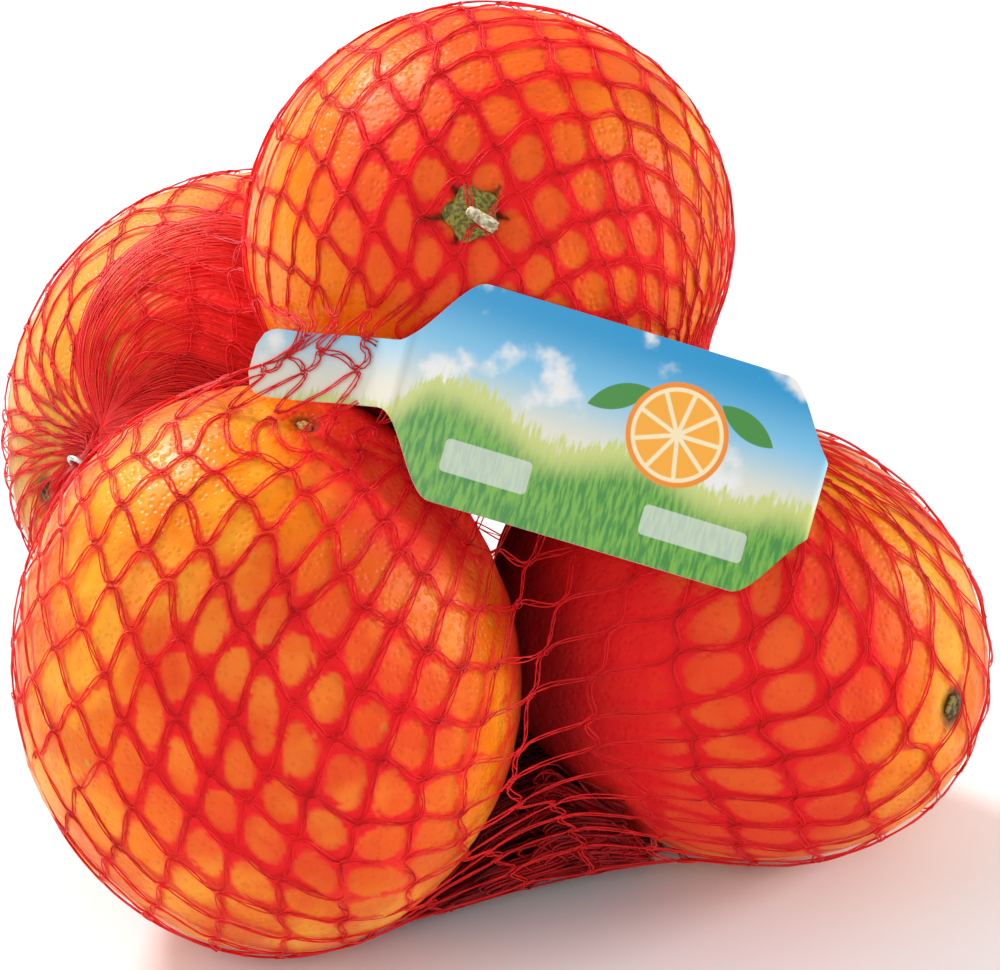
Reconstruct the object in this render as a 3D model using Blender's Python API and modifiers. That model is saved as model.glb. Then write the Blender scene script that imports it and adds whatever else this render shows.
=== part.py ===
"""A knitted net holding four oranges, closed at both ends by an aluminium clip, with its card label.

The pack lies on three of its oranges with the fourth on top. The net and what it holds are one
solid: a tube of knitted netting pulled over the fruit from clip to clip. Its surface is a grid whose
points are in turn a knot of the netting and the middle of a mesh opening, so the strands stand
proud between the knots. Units are metres, +Z is up, the card faces -Y and upwards, and the origin
is the middle of the footprint on the surface that the pack lies on.
"""
import math
from dataclasses import dataclass

import bmesh
import bpy
import numpy as np
from mathutils import Vector

MM = 0.001
TAU = 2.0 * math.pi


@dataclass(frozen=True)
class Orange:
    """One orange as a spheroid: radius across its axis, stretch along it."""

    centre: tuple
    radius: float
    stretch: float
    axis: tuple


# The oranges, in millimetres, in the order front, left, right, top
ORANGES = (
    Orange((-34.6, -41.5, 44.4), 39.4, 1.144, (0.165, -0.311, -0.936)),
    Orange((-40.8, 39.4, 39.4), 38.8, 1.111, (-0.359, -0.850, -0.386)),
    Orange((40.1, -19.1, 35.9), 35.0, 1.175, (0.897, -0.259, -0.359)),
    Orange((0.1, 7.9, 94.5), 36.5, 1.055, (0.990, 0.137, -0.033)),
)
FRONT, LEFT, RIGHT, TOP = range(4)

# Net: where it bridges from fruit to fruit, as the share of their mean radius it keeps half way
BRIDGES = (
    (FRONT, RIGHT, 0.95),
    (FRONT, LEFT, 0.52),
    (LEFT, RIGHT, 0.97),
    (TOP, FRONT, 0.54),
    (TOP, LEFT, 0.60),
    (TOP, RIGHT, 0.50),
)
BRIDGE_STEPS = 17
UNDERSIDE = 0.55
UNDERSIDE_STEPS = 7
NET_CORE = (2.0, -3.0, 56.0)
NET_STANDOFF = 0.8
OPENING_DEPTH = 0.75
SAG_SHARE = 0.85
SAG_DEEPEST = 15.0
SAG_ABOVE = 7.0
KNOTS_ROUND = 28
ROWS = 44
COLUMN_SAMPLES = 240
SMOOTH_PASSES = 4
FREE_BEYOND = 16.0

# Resting: net lower than this over the floor is pressed flat on it
PRESSED_BELOW = 0.55

# Stem that lifts the net on the top orange
STEM_WAY = (-0.07, -0.80, 0.59)
STEM_LIFT = 1.6
STEM_SPREAD = 6.0

# Gathered ends: an oval neck squeezed by the clip, then a ragged tail
NECK_WIDE = 1.25
NECK_THICK = 0.75
NECK_START = 2.6
NECK_LENGTH = 3.4
GATHER_REACH = 11.0
CLIP_WIRE = 0.85
CLIP_GAP = 0.3
CLIP_SIDES = 28
TAIL_WIDE = 2.3
TAIL_THICK = 1.5
TAIL_LENGTH = 4.6
TAIL_LOBES = 6
TAIL_RAGGED = 0.16


@dataclass(frozen=True)
class Gather:
    """A gathered end of the net: its mouth, the ways its neck and tail run, the clip's long way."""

    mouth: tuple
    neck: tuple
    tail: tuple
    wide: tuple


LEFT_GATHER = Gather(
    (-63.0, 6.5, 55.4), (-0.66, -0.62, -0.42), (-0.45, -0.40, -0.80), (0.947, 0.17, 0.27)
)
RIGHT_GATHER = Gather(
    (37.3, -15.4, 77.8), (0.32, -0.76, 0.56), (0.55, -0.60, 0.58), (0.90, 0.40, 0.10)
)

# Card label: a plate with a narrow tongue at each end, the right one folded back behind it
CARD = 0.45
LABEL_CENTRE = (18.9, -38.9, 86.1)
LABEL_ALONG = (0.9445, -0.0132, -0.3283)
LABEL_NORMAL = (0.189, -0.795, 0.576)
PLATE_LENGTH = 66.4
PLATE_HEIGHT = 34.8
PLATE_BOW = 0.9
SHOULDER_FROM = 24.6
SHOULDER_TO = 36.2
TONGUE_HEIGHT = 10.8
LEFT_TONGUE = 24.5
LEFT_CREASE = math.radians(36.0)
LEFT_CREASE_RUN = 6.5
LEFT_LEAN = math.radians(20.0)
LEFT_DROOP = 3.0
RIGHT_TONGUE = 14.0
FOLD_RADIUS = 1.3
FOLD_TURN = math.radians(138.0)
FOLD_STEPS = 8
LABEL_STEP = 1.5
LABEL_CROSS_STEPS = 6


def unit(vector):
    """The vector or rows of vectors at length one."""
    vector = np.asarray(vector, float)
    return vector / np.linalg.norm(vector, axis=-1, keepdims=True)


def way_out(ways, centre, radius, stretch=1.0, axis=(0.0, 0.0, 1.0)):
    """How far each ray from the net's core runs before it leaves a spheroid, or -1 beside it."""
    lean = np.eye(3) + (1.0 / stretch - 1.0) * np.outer(unit(axis), unit(axis))
    start = lean @ (np.asarray(NET_CORE) - centre)
    rays = ways @ lean
    square = (rays * rays).sum(1)
    half = rays @ start
    left = half * half - square * (start @ start - radius * radius)
    reach = (np.sqrt(np.maximum(left, 0.0)) - half) / square
    return np.where(left > 0.0, reach, -1.0)


def bridge_reach(ways, reach):
    """The reach with the net's bridges from orange to orange, and across the underside."""
    for first, second, waist in BRIDGES:
        one, other = ORANGES[first], ORANGES[second]
        for share in np.linspace(0.0, 1.0, BRIDGE_STEPS):
            centre = np.asarray(one.centre) * (1.0 - share) + np.asarray(other.centre) * share
            radius = one.radius * (1.0 - share) + other.radius * share
            radius *= 1.0 - (1.0 - waist) * math.sin(math.pi * share)
            reach = np.maximum(reach, way_out(ways, centre, radius))
    corners = [ORANGES[k] for k in (FRONT, LEFT, RIGHT)]
    for a in np.linspace(0.0, 1.0, UNDERSIDE_STEPS):
        for b in np.linspace(0.0, 1.0 - a, UNDERSIDE_STEPS):
            shares = (a, b, 1.0 - a - b)
            centre = sum(s * np.asarray(c.centre) for s, c in zip(shares, corners))
            radius = sum(s * c.radius for s, c in zip(shares, corners)) * UNDERSIDE
            centre[2] = radius
            reach = np.maximum(reach, way_out(ways, centre, radius))
    return reach


def fruit_reach(ways):
    """Distance from the net's core to where the net lies on the fruit, in millimetres."""
    reach = np.zeros(len(ways))
    for orange in ORANGES:
        radius = orange.radius + NET_STANDOFF
        reach = np.maximum(reach, way_out(ways, orange.centre, radius, orange.stretch, orange.axis))
    return reach


def net_reach(ways):
    """Distance from the net's core to the net in each direction, in millimetres."""
    core = np.asarray(NET_CORE)
    reach = bridge_reach(ways, fruit_reach(ways))
    stem = np.asarray(ORANGES[TOP].centre) + unit(STEM_WAY) * ORANGES[TOP].radius
    off_stem = np.linalg.norm(core + ways * reach[:, None] - stem, axis=1)
    reach = reach + STEM_LIFT * np.exp(-((off_stem / STEM_SPREAD) ** 2))
    down = np.minimum(ways[:, 2], -1e-6)
    floor = np.where(ways[:, 2] < 0.0, -core[2] / down, 1e9)
    return np.minimum(reach, floor)


def column_ways(angle, samples):
    """Directions from the left gather to the right one, in the half plane at this angle."""
    core = np.asarray(NET_CORE)
    start = unit(np.asarray(LEFT_GATHER.mouth) - core)
    end = unit(np.asarray(RIGHT_GATHER.mouth) - core)
    chord = unit(end - start)
    foot = start - chord * (chord @ start)
    side = unit(-foot)
    out = math.cos(angle) * side + math.sin(angle) * np.cross(chord, side)
    turn = np.linspace(0.0, math.pi, samples + 1)
    rays = np.outer(np.sin(turn), out) - np.outer(np.cos(turn), chord)
    toward = rays @ foot
    length = np.sqrt(toward * toward - (foot @ foot - 1.0)) - toward
    return unit(foot + rays * length[:, None])


def column_angles():
    """Angles of the grid's columns, so that they share the net's girth evenly."""
    angles = np.linspace(0.0, TAU, 361)
    middle = np.array([column_ways(a, 2)[1] for a in angles])
    girth = middle * net_reach(middle)[:, None]
    run = np.concatenate(([0.0], np.cumsum(np.linalg.norm(np.diff(girth, axis=0), axis=1))))
    columns = 2 * KNOTS_ROUND
    return np.interp(np.arange(columns) / columns * run[-1], run, angles)


def column_line(angle):
    """The grid's points down one column, evenly spaced along the net's surface."""
    core = np.asarray(NET_CORE)
    ways = column_ways(angle, COLUMN_SAMPLES)
    reach = net_reach(ways)
    fruit = fruit_reach(ways)
    for gather in (LEFT_GATHER, RIGHT_GATHER):
        mouth = np.asarray(gather.mouth) - core
        far = np.linalg.norm(mouth)
        off = far * np.arccos(np.clip(ways @ mouth / far, -1.0, 1.0))
        pull = np.exp(-((off / GATHER_REACH) ** 2))
        reach = np.maximum(reach * (1.0 - pull) + far * pull, fruit)
    line = core + ways * reach[:, None]
    run = np.concatenate(([0.0], np.cumsum(np.linalg.norm(np.diff(line, axis=0), axis=1))))
    stops = np.linspace(0.0, run[-1], ROWS + 1)
    return np.column_stack([np.interp(stops, run, line[:, k]) for k in range(3)])


def frame_across(way, wide):
    """Two unit vectors across a direction, the first as near as can be to another direction."""
    wide = np.asarray(wide, float)
    first = unit(wide - way * (way @ wide))
    return first, np.cross(way, first)


def filled(reach, free):
    """The net's reach with its sharpest hollows filled, as taut netting bridges them."""
    for _ in range(SMOOTH_PASSES):
        around = (np.roll(reach, 1, 1) + np.roll(reach, -1, 1)) / 2.0
        along = reach.copy()
        along[1:-1] = (reach[:-2] + reach[2:]) / 2.0
        drawn = np.maximum(reach, 0.5 * (around + along))
        reach = reach + free * (drawn - reach)
    return reach


def net_grid():
    """The grid of knots and openings, rows from the left gather to the right one."""
    grid = np.array([column_line(angle) for angle in column_angles()]).transpose(1, 0, 2)
    core = np.asarray(NET_CORE)
    rows, columns = grid.shape[:2]
    reach = np.linalg.norm(grid - core, axis=2)
    free = np.ones_like(reach)
    for gather in (LEFT_GATHER, RIGHT_GATHER):
        off = np.linalg.norm(grid - np.asarray(gather.mouth), axis=2)
        free *= 1.0 - np.exp(-((off / FREE_BEYOND) ** 2))
    reach = filled(reach, free)
    ways = unit(grid - core)
    gap = reach - fruit_reach(ways.reshape(-1, 3)).reshape(rows, columns)
    high = core[2] + ways[:, :, 2] * reach
    above = np.clip((high - SAG_ABOVE) / SAG_ABOVE, 0.0, 1.0)
    sag = SAG_DEEPEST * (1.0 - np.exp(-SAG_SHARE * gap / SAG_DEEPEST))
    reach = filled(reach - sag * free * above, free)
    grid = core + ways * reach[:, :, None]
    opening = (np.arange(rows)[:, None] + np.arange(columns)) % 2 == 1
    room = np.linalg.norm(grid - np.roll(grid, 1, 1), axis=2)
    sink = np.where(opening, np.minimum(OPENING_DEPTH, 0.3 * room), 0.0)
    grid = grid - ways * sink[:, :, None]
    grid[:, :, 2] = np.where(grid[:, :, 2] < PRESSED_BELOW, 0.0, grid[:, :, 2])
    return grid[1:-1]


def matched_ring(ring, centre, way, wide, half_wide, half_thick):
    """An oval ring across a direction, each point facing its neighbour on the ring before."""
    first, second = frame_across(way, wide)
    off = ring - ring.mean(0)
    turn = np.unwrap(np.arctan2(off @ second, off @ first))
    count = len(ring)
    even = math.copysign(TAU, turn[-1] - turn[0]) * np.arange(count) / count
    even += (turn - even).mean()
    across = np.outer(half_wide * np.cos(even), first) + np.outer(half_thick * np.sin(even), second)
    return centre + across


def gathered_end(ring, gather):
    """Rings of the neck inside the clip and of the tail beyond it, from the net outwards."""
    neck = unit(gather.neck)
    tail = unit(gather.tail)
    mouth = np.asarray(gather.mouth)
    count = len(ring)
    lobes = np.cos(TAIL_LOBES * TAU * np.arange(count) / count)
    rings = []
    for along in (0.0, 0.5, 1.0):
        centre = mouth + neck * (NECK_START + NECK_LENGTH * along)
        wide = np.full(count, NECK_WIDE)
        thick = np.full(count, NECK_THICK)
        rings.append(matched_ring(ring, centre, neck, gather.wide, wide, thick))
    end = mouth + neck * (NECK_START + NECK_LENGTH)
    for along in (0.3, 0.65, 1.0):
        way = unit(neck * (1.0 - along) + tail * along)
        swell = math.sin(0.5 * math.pi * along)
        ragged = 1.0 + TAIL_RAGGED * lobes * along
        wide = (NECK_WIDE + (TAIL_WIDE - NECK_WIDE) * swell) * ragged
        thick = (NECK_THICK + (TAIL_THICK - NECK_THICK) * swell) * ragged
        centre = end + way * TAIL_LENGTH * along
        rings.append(matched_ring(ring, centre, way, gather.wide, wide, thick))
    return rings


def material(name, colour, roughness, metallic=0.0):
    """A plain Principled BSDF material with this base colour."""
    made = bpy.data.materials.new(name)
    made.use_nodes = True
    shader = made.node_tree.nodes["Principled BSDF"]
    shader.inputs["Base Color"].default_value = (*colour, 1.0)
    shader.inputs["Roughness"].default_value = roughness
    shader.inputs["Metallic"].default_value = metallic
    return made


def mesh_object(name, mesh, collection, surface):
    """Link a mesh as a named object with its own material."""
    made = bpy.data.objects.new(name, mesh)
    collection.objects.link(made)
    mesh.materials.append(surface)
    return made


def build_net(collection):
    """The net with its four oranges, from the tail at its left clip to the tail at its right."""
    grid = net_grid()
    head = gathered_end(grid[0], LEFT_GATHER)[::-1]
    foot = gathered_end(grid[-1], RIGHT_GATHER)
    first_row = len(head)
    rings = head + list(grid) + foot
    bm = bmesh.new()
    loops = [[bm.verts.new(Vector(point) * MM) for point in ring] for ring in rings]
    count = len(loops[0])
    for row in range(len(loops) - 1):
        near, far = loops[row], loops[row + 1]
        for k in range(count):
            nxt = (k + 1) % count
            corners = (near[k], near[nxt], far[nxt], far[k])
            if (row - first_row + k) % 2 == 1:
                halves = ((0, 1, 2), (0, 2, 3))
            else:
                halves = ((0, 1, 3), (1, 2, 3))
            for half in halves:
                bm.faces.new([corners[c] for c in half])
    for loop, gather in ((loops[0], LEFT_GATHER), (loops[-1], RIGHT_GATHER)):
        middle = sum((v.co for v in loop), Vector()) / count
        tip = bm.verts.new(middle - Vector(unit(gather.tail)) * 0.8 * MM)
        for k in range(count):
            bm.faces.new((loop[k], loop[(k + 1) % count], tip))
    bmesh.ops.recalc_face_normals(bm, faces=bm.faces)
    mesh = bpy.data.meshes.new("net_bag")
    bm.to_mesh(mesh)
    bm.free()
    mesh.shade_smooth()
    mesh_object("net_bag", mesh, collection, material("net_red", (0.80, 0.06, 0.02), 0.45))


def build_clip(name, gather, collection):
    """An aluminium wire clip closed round a neck of the net."""
    neck = unit(gather.neck)
    first, second = frame_across(neck, gather.wide)
    centre = np.asarray(gather.mouth) + neck * (NECK_START + NECK_LENGTH * 0.5)
    margin = CLIP_GAP + CLIP_WIRE / 2.0
    curve = bpy.data.curves.new(name, "CURVE")
    curve.dimensions = "3D"
    curve.bevel_depth = CLIP_WIRE / 2.0 * MM
    curve.bevel_resolution = 2
    spline = curve.splines.new("POLY")
    spline.points.add(CLIP_SIDES - 1)
    for k, point in enumerate(spline.points):
        turn = TAU * k / CLIP_SIDES
        wide = (NECK_WIDE + margin) * math.cos(turn)
        thick = (NECK_THICK + margin) * math.sin(turn)
        place = centre + first * wide + second * thick
        point.co = (*(place * MM), 1.0)
    spline.use_cyclic_u = True
    made = bpy.data.objects.new(name, curve)
    collection.objects.link(made)
    curve.materials.append(material("aluminium_wire", (0.80, 0.80, 0.82), 0.35, 1.0))


def smooth_step(share):
    """A rise from 0 to 1 that is level at both ends."""
    share = min(max(share, 0.0), 1.0)
    return share * share * (3.0 - 2.0 * share)


def label_half_height(along):
    """Half the card's height at a place along it, from the plate's middle."""
    tongue = TONGUE_HEIGHT / 2.0
    plate = PLATE_HEIGHT / 2.0
    share = (abs(along) - SHOULDER_FROM) / (SHOULDER_TO - SHOULDER_FROM)
    height = plate - (plate - tongue) * smooth_step(share)
    end = PLATE_LENGTH / 2.0 + (LEFT_TONGUE if along < 0.0 else RIGHT_TONGUE)
    to_end = end - abs(along)
    rounding = tongue * 0.6
    if to_end < rounding:
        height -= rounding - math.sqrt(max(rounding ** 2 - (rounding - to_end) ** 2, 0.0))
    return height


def bent_run(station, length, side, heading):
    """Stations of a bent stretch of card past a station, its heading given at each distance."""
    flat, place, depth = station
    stations = []
    count = math.ceil(length / LABEL_STEP)
    step = length / count
    for k in range(count):
        way = heading((k + 0.5) * step)
        flat += side * step
        place += side * step * math.cos(way)
        depth -= step * math.sin(way)
        stations.append((flat, place, depth))
    return stations


def label_path():
    """Stations along the card: distance along it, then its place along and behind the plate."""
    half = PLATE_LENGTH / 2.0
    edge = math.atan(2.0 * PLATE_BOW / half)
    plate = []
    steps = math.ceil(PLATE_LENGTH / LABEL_STEP)
    for k in range(steps + 1):
        along = PLATE_LENGTH * (k / steps - 0.5)
        plate.append((along, along, -PLATE_BOW * (along / half) ** 2))
    left = bent_run(
        plate[0], LEFT_TONGUE, -1.0, lambda run: LEFT_CREASE if run < LEFT_CREASE_RUN else LEFT_LEAN
    )
    fold = []
    station = plate[-1]
    arc = FOLD_RADIUS * FOLD_TURN / FOLD_STEPS
    for k in range(FOLD_STEPS):
        way = edge + FOLD_TURN * (k + 0.5) / FOLD_STEPS
        flat, place, depth = station
        station = (flat + arc, place + arc * math.cos(way), depth - arc * math.sin(way))
        fold.append(station)
    rest = RIGHT_TONGUE - FOLD_RADIUS * FOLD_TURN
    right = bent_run(station, rest, 1.0, lambda run: edge + FOLD_TURN)
    return left[::-1] + plate + fold + right


def build_label(collection):
    """The card label, bent as it hangs: its left tongue under the netting, its right one folded."""
    along = unit(LABEL_ALONG)
    normal = unit(np.asarray(LABEL_NORMAL) - along * (along @ np.asarray(LABEL_NORMAL)))
    up = np.cross(normal, along)
    bm = bmesh.new()
    loops = []
    for flat, place, depth in label_path():
        half = label_half_height(flat)
        tongue = smooth_step((-flat - PLATE_LENGTH / 2.0) / LEFT_TONGUE)
        middle = np.asarray(LABEL_CENTRE) + along * place + normal * depth - up * LEFT_DROOP * tongue
        loop = []
        for k in range(LABEL_CROSS_STEPS + 1):
            across = half * (2.0 * k / LABEL_CROSS_STEPS - 1.0)
            loop.append(bm.verts.new(Vector(middle + up * across) * MM))
        loops.append(loop)
    for near, far in zip(loops, loops[1:]):
        for k in range(LABEL_CROSS_STEPS):
            bm.faces.new((near[k], far[k], far[k + 1], near[k + 1]))
    mesh = bpy.data.meshes.new("label")
    bm.to_mesh(mesh)
    bm.free()
    made = mesh_object("label", mesh, collection, material("label_card", (0.45, 0.66, 0.62), 0.4))
    thick = made.modifiers.new("card", "SOLIDIFY")
    thick.thickness = CARD * MM
    thick.offset = 0.0


def main():
    """Build the pack: net with fruit, two clips and the label."""
    for old in list(bpy.data.objects):
        bpy.data.objects.remove(old, do_unlink=True)
    pack = bpy.data.collections.new("net_of_oranges")
    bpy.context.scene.collection.children.link(pack)
    build_net(pack)
    build_clip("clip_left", LEFT_GATHER, pack)
    build_clip("clip_right", RIGHT_GATHER, pack)
    build_label(pack)


main()
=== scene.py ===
"""A red knitted net of four oranges, closed by a wire clip at each end, with a card label.

The pack lies on three of its oranges, with the fourth on top. Lengths in the classes are in
millimetres, in the frame's own axes: +Z up, the label's side towards -Y.
"""

import logging
import math
from dataclasses import dataclass, field
from enum import Enum

import bmesh
import bpy
import numpy as np
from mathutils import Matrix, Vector, noise
from mathutils.kdtree import KDTree

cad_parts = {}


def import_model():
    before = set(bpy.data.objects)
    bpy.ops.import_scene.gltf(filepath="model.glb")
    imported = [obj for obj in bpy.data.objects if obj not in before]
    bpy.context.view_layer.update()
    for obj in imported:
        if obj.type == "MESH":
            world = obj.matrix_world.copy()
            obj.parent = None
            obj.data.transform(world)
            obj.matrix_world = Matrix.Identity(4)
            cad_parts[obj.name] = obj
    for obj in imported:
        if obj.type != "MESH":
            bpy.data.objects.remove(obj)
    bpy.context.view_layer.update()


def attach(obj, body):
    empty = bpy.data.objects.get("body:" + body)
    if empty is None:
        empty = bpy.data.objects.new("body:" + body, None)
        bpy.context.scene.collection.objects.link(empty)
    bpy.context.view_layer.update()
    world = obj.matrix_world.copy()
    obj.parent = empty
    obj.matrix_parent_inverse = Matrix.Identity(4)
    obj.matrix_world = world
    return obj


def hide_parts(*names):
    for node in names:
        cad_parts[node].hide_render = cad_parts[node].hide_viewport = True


MM = 0.001
TAU = 2.0 * math.pi
WELD = 1e-6
MAP_SIZE = 100.0
BODY = "root"
LOG = logging.getLogger("net_of_oranges")


def unit(vector: np.ndarray) -> np.ndarray:
    """The vector, or each row of vectors, at length one."""
    vector = np.asarray(vector, float)
    return vector / np.maximum(np.linalg.norm(vector, axis=-1, keepdims=True), 1e-12)


def ease(value: np.ndarray, low: float, high: float) -> np.ndarray:
    """A rise from 0 at low to 1 at high that is level at both ends.

    Args:
        value: Numbers to map.
        low: Where the rise starts.
        high: Where the rise ends.

    Returns:
        The mapped numbers, between 0 and 1.
    """
    share = np.clip((np.asarray(value, float) - low) / (high - low), 0.0, 1.0)
    return share * share * (3.0 - 2.0 * share)


def linear(code: str) -> tuple:
    """Turn an sRGB hex code into a linear colour with alpha.

    Args:
        code: Six hex digits after a hash sign.

    Returns:
        Linear red, green and blue, and 1 for alpha.
    """
    parts = [int(code[k:k + 2], 16) / 255.0 for k in (1, 3, 5)]
    return (*[p / 12.92 if p <= 0.04045 else ((p + 0.055) / 1.055) ** 2.4 for p in parts], 1.0)


def add(
    tree: bpy.types.NodeTree, kind: str, inputs: dict | None = None, **settings,
) -> bpy.types.Node:
    """Add a shader node with its settings and what feeds it.

    Args:
        tree: The node tree that it goes in.
        kind: Blender's name of the node's type.
        inputs: Socket name or number, to a value or to the output that feeds it.
        settings: The node's own options.

    Returns:
        The new node.
    """
    node = tree.nodes.new(kind)
    for name, value in settings.items():
        setattr(node, name, value)
    for name, value in (inputs or {}).items():
        if isinstance(value, bpy.types.NodeSocket):
            tree.links.new(value, node.inputs[name])
        else:
            node.inputs[name].default_value = value
    return node


def blank_material(name: str, constants: dict) -> tuple:
    """A new material whose Principled BSDF has its constant values set.

    Args:
        name: The material's name.
        constants: Socket name, to its value.

    Returns:
        The material, its node tree and its shader node.
    """
    made = bpy.data.materials.new(name)
    made.use_nodes = True
    tree = made.node_tree
    shader = tree.nodes["Principled BSDF"]
    for socket, value in constants.items():
        shader.inputs[socket].default_value = value
    return made, tree, shader


def mix(tree: bpy.types.NodeTree, share, first, second):
    """Blend two colours in a node tree.

    Args:
        tree: The node tree.
        share: A number or an output, 0 for the first colour and 1 for the second.
        first: A colour or an output.
        second: A colour or an output.

    Returns:
        The output that holds the blend.
    """
    node = add(tree, "ShaderNodeMix", {0: share, 6: first, 7: second}, data_type="RGBA")
    return node.outputs[2]


def ramp(tree: bpy.types.NodeTree, factor, low: float, high: float):
    """A clamped rise from 0 to 1 between two values of an output.

    Args:
        tree: The node tree.
        factor: The output to read.
        low: The value that gives 0.
        high: The value that gives 1.

    Returns:
        The output that holds the rise.
    """
    node = add(
        tree,
        "ShaderNodeMapRange",
        {"Value": factor, "From Min": low, "From Max": high},
        interpolation_type="SMOOTHSTEP",
    )
    return node.outputs[0]


def two_toned(
    name: str, tones: tuple, grain: tuple, span: tuple, constants: dict, relief: tuple = (),
) -> bpy.types.Material:
    """A material whose colour drifts between two tones.

    Args:
        name: The material's name.
        tones: Hex colours below and above the span.
        grain: The pattern's scale and detail.
        span: The pattern's values between which the tones blend.
        constants: Socket name of the shader, to its value.
        relief: Strength of a relief by the same pattern, and its height in metres.

    Returns:
        The material.
    """
    made, tree, shader = blank_material(name, constants)
    place = add(tree, "ShaderNodeTexCoord").outputs["Object"]
    pattern = add(
        tree, "ShaderNodeTexNoise", {"Vector": place, "Scale": grain[0], "Detail": grain[1]}
    ).outputs["Fac"]
    colour = mix(tree, ramp(tree, pattern, *span), linear(tones[0]), linear(tones[1]))
    tree.links.new(colour, shader.inputs["Base Color"])
    if relief:
        strength, high = relief
        bump = add(
            tree, "ShaderNodeBump", {"Height": pattern, "Strength": strength, "Distance": high}
        )
        tree.links.new(bump.outputs[0], shader.inputs["Normal"])
    return made


def across(way: np.ndarray, aside: tuple) -> tuple:
    """Two unit vectors square to a way and to each other, the first square to aside too."""
    first = unit(np.cross(way, aside))
    return first, np.cross(way, first)


def run_along(line: np.ndarray) -> np.ndarray:
    """How far along a line of points each of them lies."""
    return np.concatenate(([0.0], np.cumsum(np.linalg.norm(np.diff(line, axis=0), axis=1))))


def ring_quads(here: np.ndarray, ahead: np.ndarray) -> np.ndarray:
    """Faces between closed rings of vertices.

    Args:
        here: Vertex numbers, with the last axis round each ring.
        ahead: The numbers of the ring that follows each.

    Returns:
        Rows of four vertex numbers.
    """
    corners = [here, np.roll(here, -1, -1), np.roll(ahead, -1, -1), ahead]
    return np.stack(corners, -1).reshape(-1, 4)


def turn_outward(piece: bpy.types.Object, weld: bool = False) -> None:
    """Point a closed piece's faces outwards.

    Args:
        piece: The mesh object.
        weld: Whether vertices at one place are joined first.
    """
    bm = bmesh.new()
    bm.from_mesh(piece.data)
    if weld:
        bmesh.ops.remove_doubles(bm, verts=bm.verts, dist=WELD)
    bmesh.ops.recalc_face_normals(bm, faces=bm.faces)
    bm.to_mesh(piece.data)
    bm.free()


def mesh_piece(name: str, points: np.ndarray, faces: list, surfaces: list) -> bpy.types.Object:
    """Make a smooth mesh object at the origin from points in millimetres.

    Args:
        name: The piece's name.
        points: Rows of x, y, z in millimetres.
        faces: Arrays of vertex numbers, one array for each count of corners.
        surfaces: The piece's materials.

    Returns:
        The new object.
    """
    mesh = bpy.data.meshes.new(name)
    mesh.vertices.add(len(points))
    mesh.vertices.foreach_set("co", (np.asarray(points, float) * MM).astype(np.float32).ravel())
    corners = np.concatenate([np.asarray(f).ravel() for f in faces]).astype(np.int32)
    sizes = np.concatenate([np.full(len(f), np.asarray(f).shape[1]) for f in faces])
    starts = np.concatenate(([0], np.cumsum(sizes)[:-1])).astype(np.int32)
    mesh.loops.add(len(corners))
    mesh.loops.foreach_set("vertex_index", corners)
    mesh.polygons.add(len(sizes))
    mesh.polygons.foreach_set("loop_start", starts)
    mesh.update(calc_edges=True)
    mesh.validate()
    mesh.shade_smooth()
    for surface in surfaces:
        mesh.materials.append(surface)
    piece = bpy.data.objects.new(name, mesh)
    bpy.context.scene.collection.objects.link(piece)
    return piece


def number_attribute(piece: bpy.types.Object, name: str, values: np.ndarray) -> None:
    """Store one number for each vertex of a piece.

    Args:
        piece: The mesh object.
        name: The attribute's name.
        values: One number for each vertex.
    """
    attribute = piece.data.attributes.new(name, "FLOAT", "POINT")
    attribute.data.foreach_set("value", np.asarray(values, np.float32))


def dress(piece: bpy.types.Object, stands_for: tuple = ()) -> None:
    """Put a finished piece on the pack's body.

    Args:
        piece: The finished object.
        stands_for: The CAD nodes that it replaces.
    """
    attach(piece, BODY)
    if stands_for:
        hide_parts(*stands_for)
    LOG.info("%s: %d faces", piece.name, len(piece.data.polygons))


def search_tree(points: np.ndarray) -> KDTree:
    """A search tree of points.

    Args:
        points: Rows of points, in millimetres.

    Returns:
        The balanced tree.
    """
    tree = KDTree(len(points))
    for number, point in enumerate(points):
        tree.insert(Vector(point), number)
    tree.balance()
    return tree


class Blemish(Enum):
    """What a fruit shows at a spot of its peel."""

    STEM = "stem end with its calyx"
    PIT = "small pit with a pale button"
    SCAR = "dark stem scar"
    SPOT = "round olive spot"
    # A furrow is sunk into the rind and darkened with painted shade
    FURROW = "short dark furrow in the rind"


@dataclass(frozen=True)
class Mark:
    """A blemish on a fruit: its kind, its way from the fruit's middle, its radius, its far end."""

    kind: Blemish
    way: tuple
    radius: float
    far_end: tuple = ()


@dataclass(frozen=True)
class Glow:
    """Where the peel is painted red: the dense netting's own red, painted red light and shade under
    it, and wider painted shadow bands under the strands.
    """

    way: tuple
    reach: float
    widening: float
    veil: float


@dataclass(frozen=True)
class Orange:
    """One orange: a spheroid with its blemishes and its red-lit parts."""

    name: str
    centre: tuple
    radius: float
    stretch: float
    axis: tuple
    marks: tuple = ()
    glows: tuple = ()
    yellow: float = 0.0
    sunny: str = "#F4A224"
    shade: float = 0.95


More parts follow.
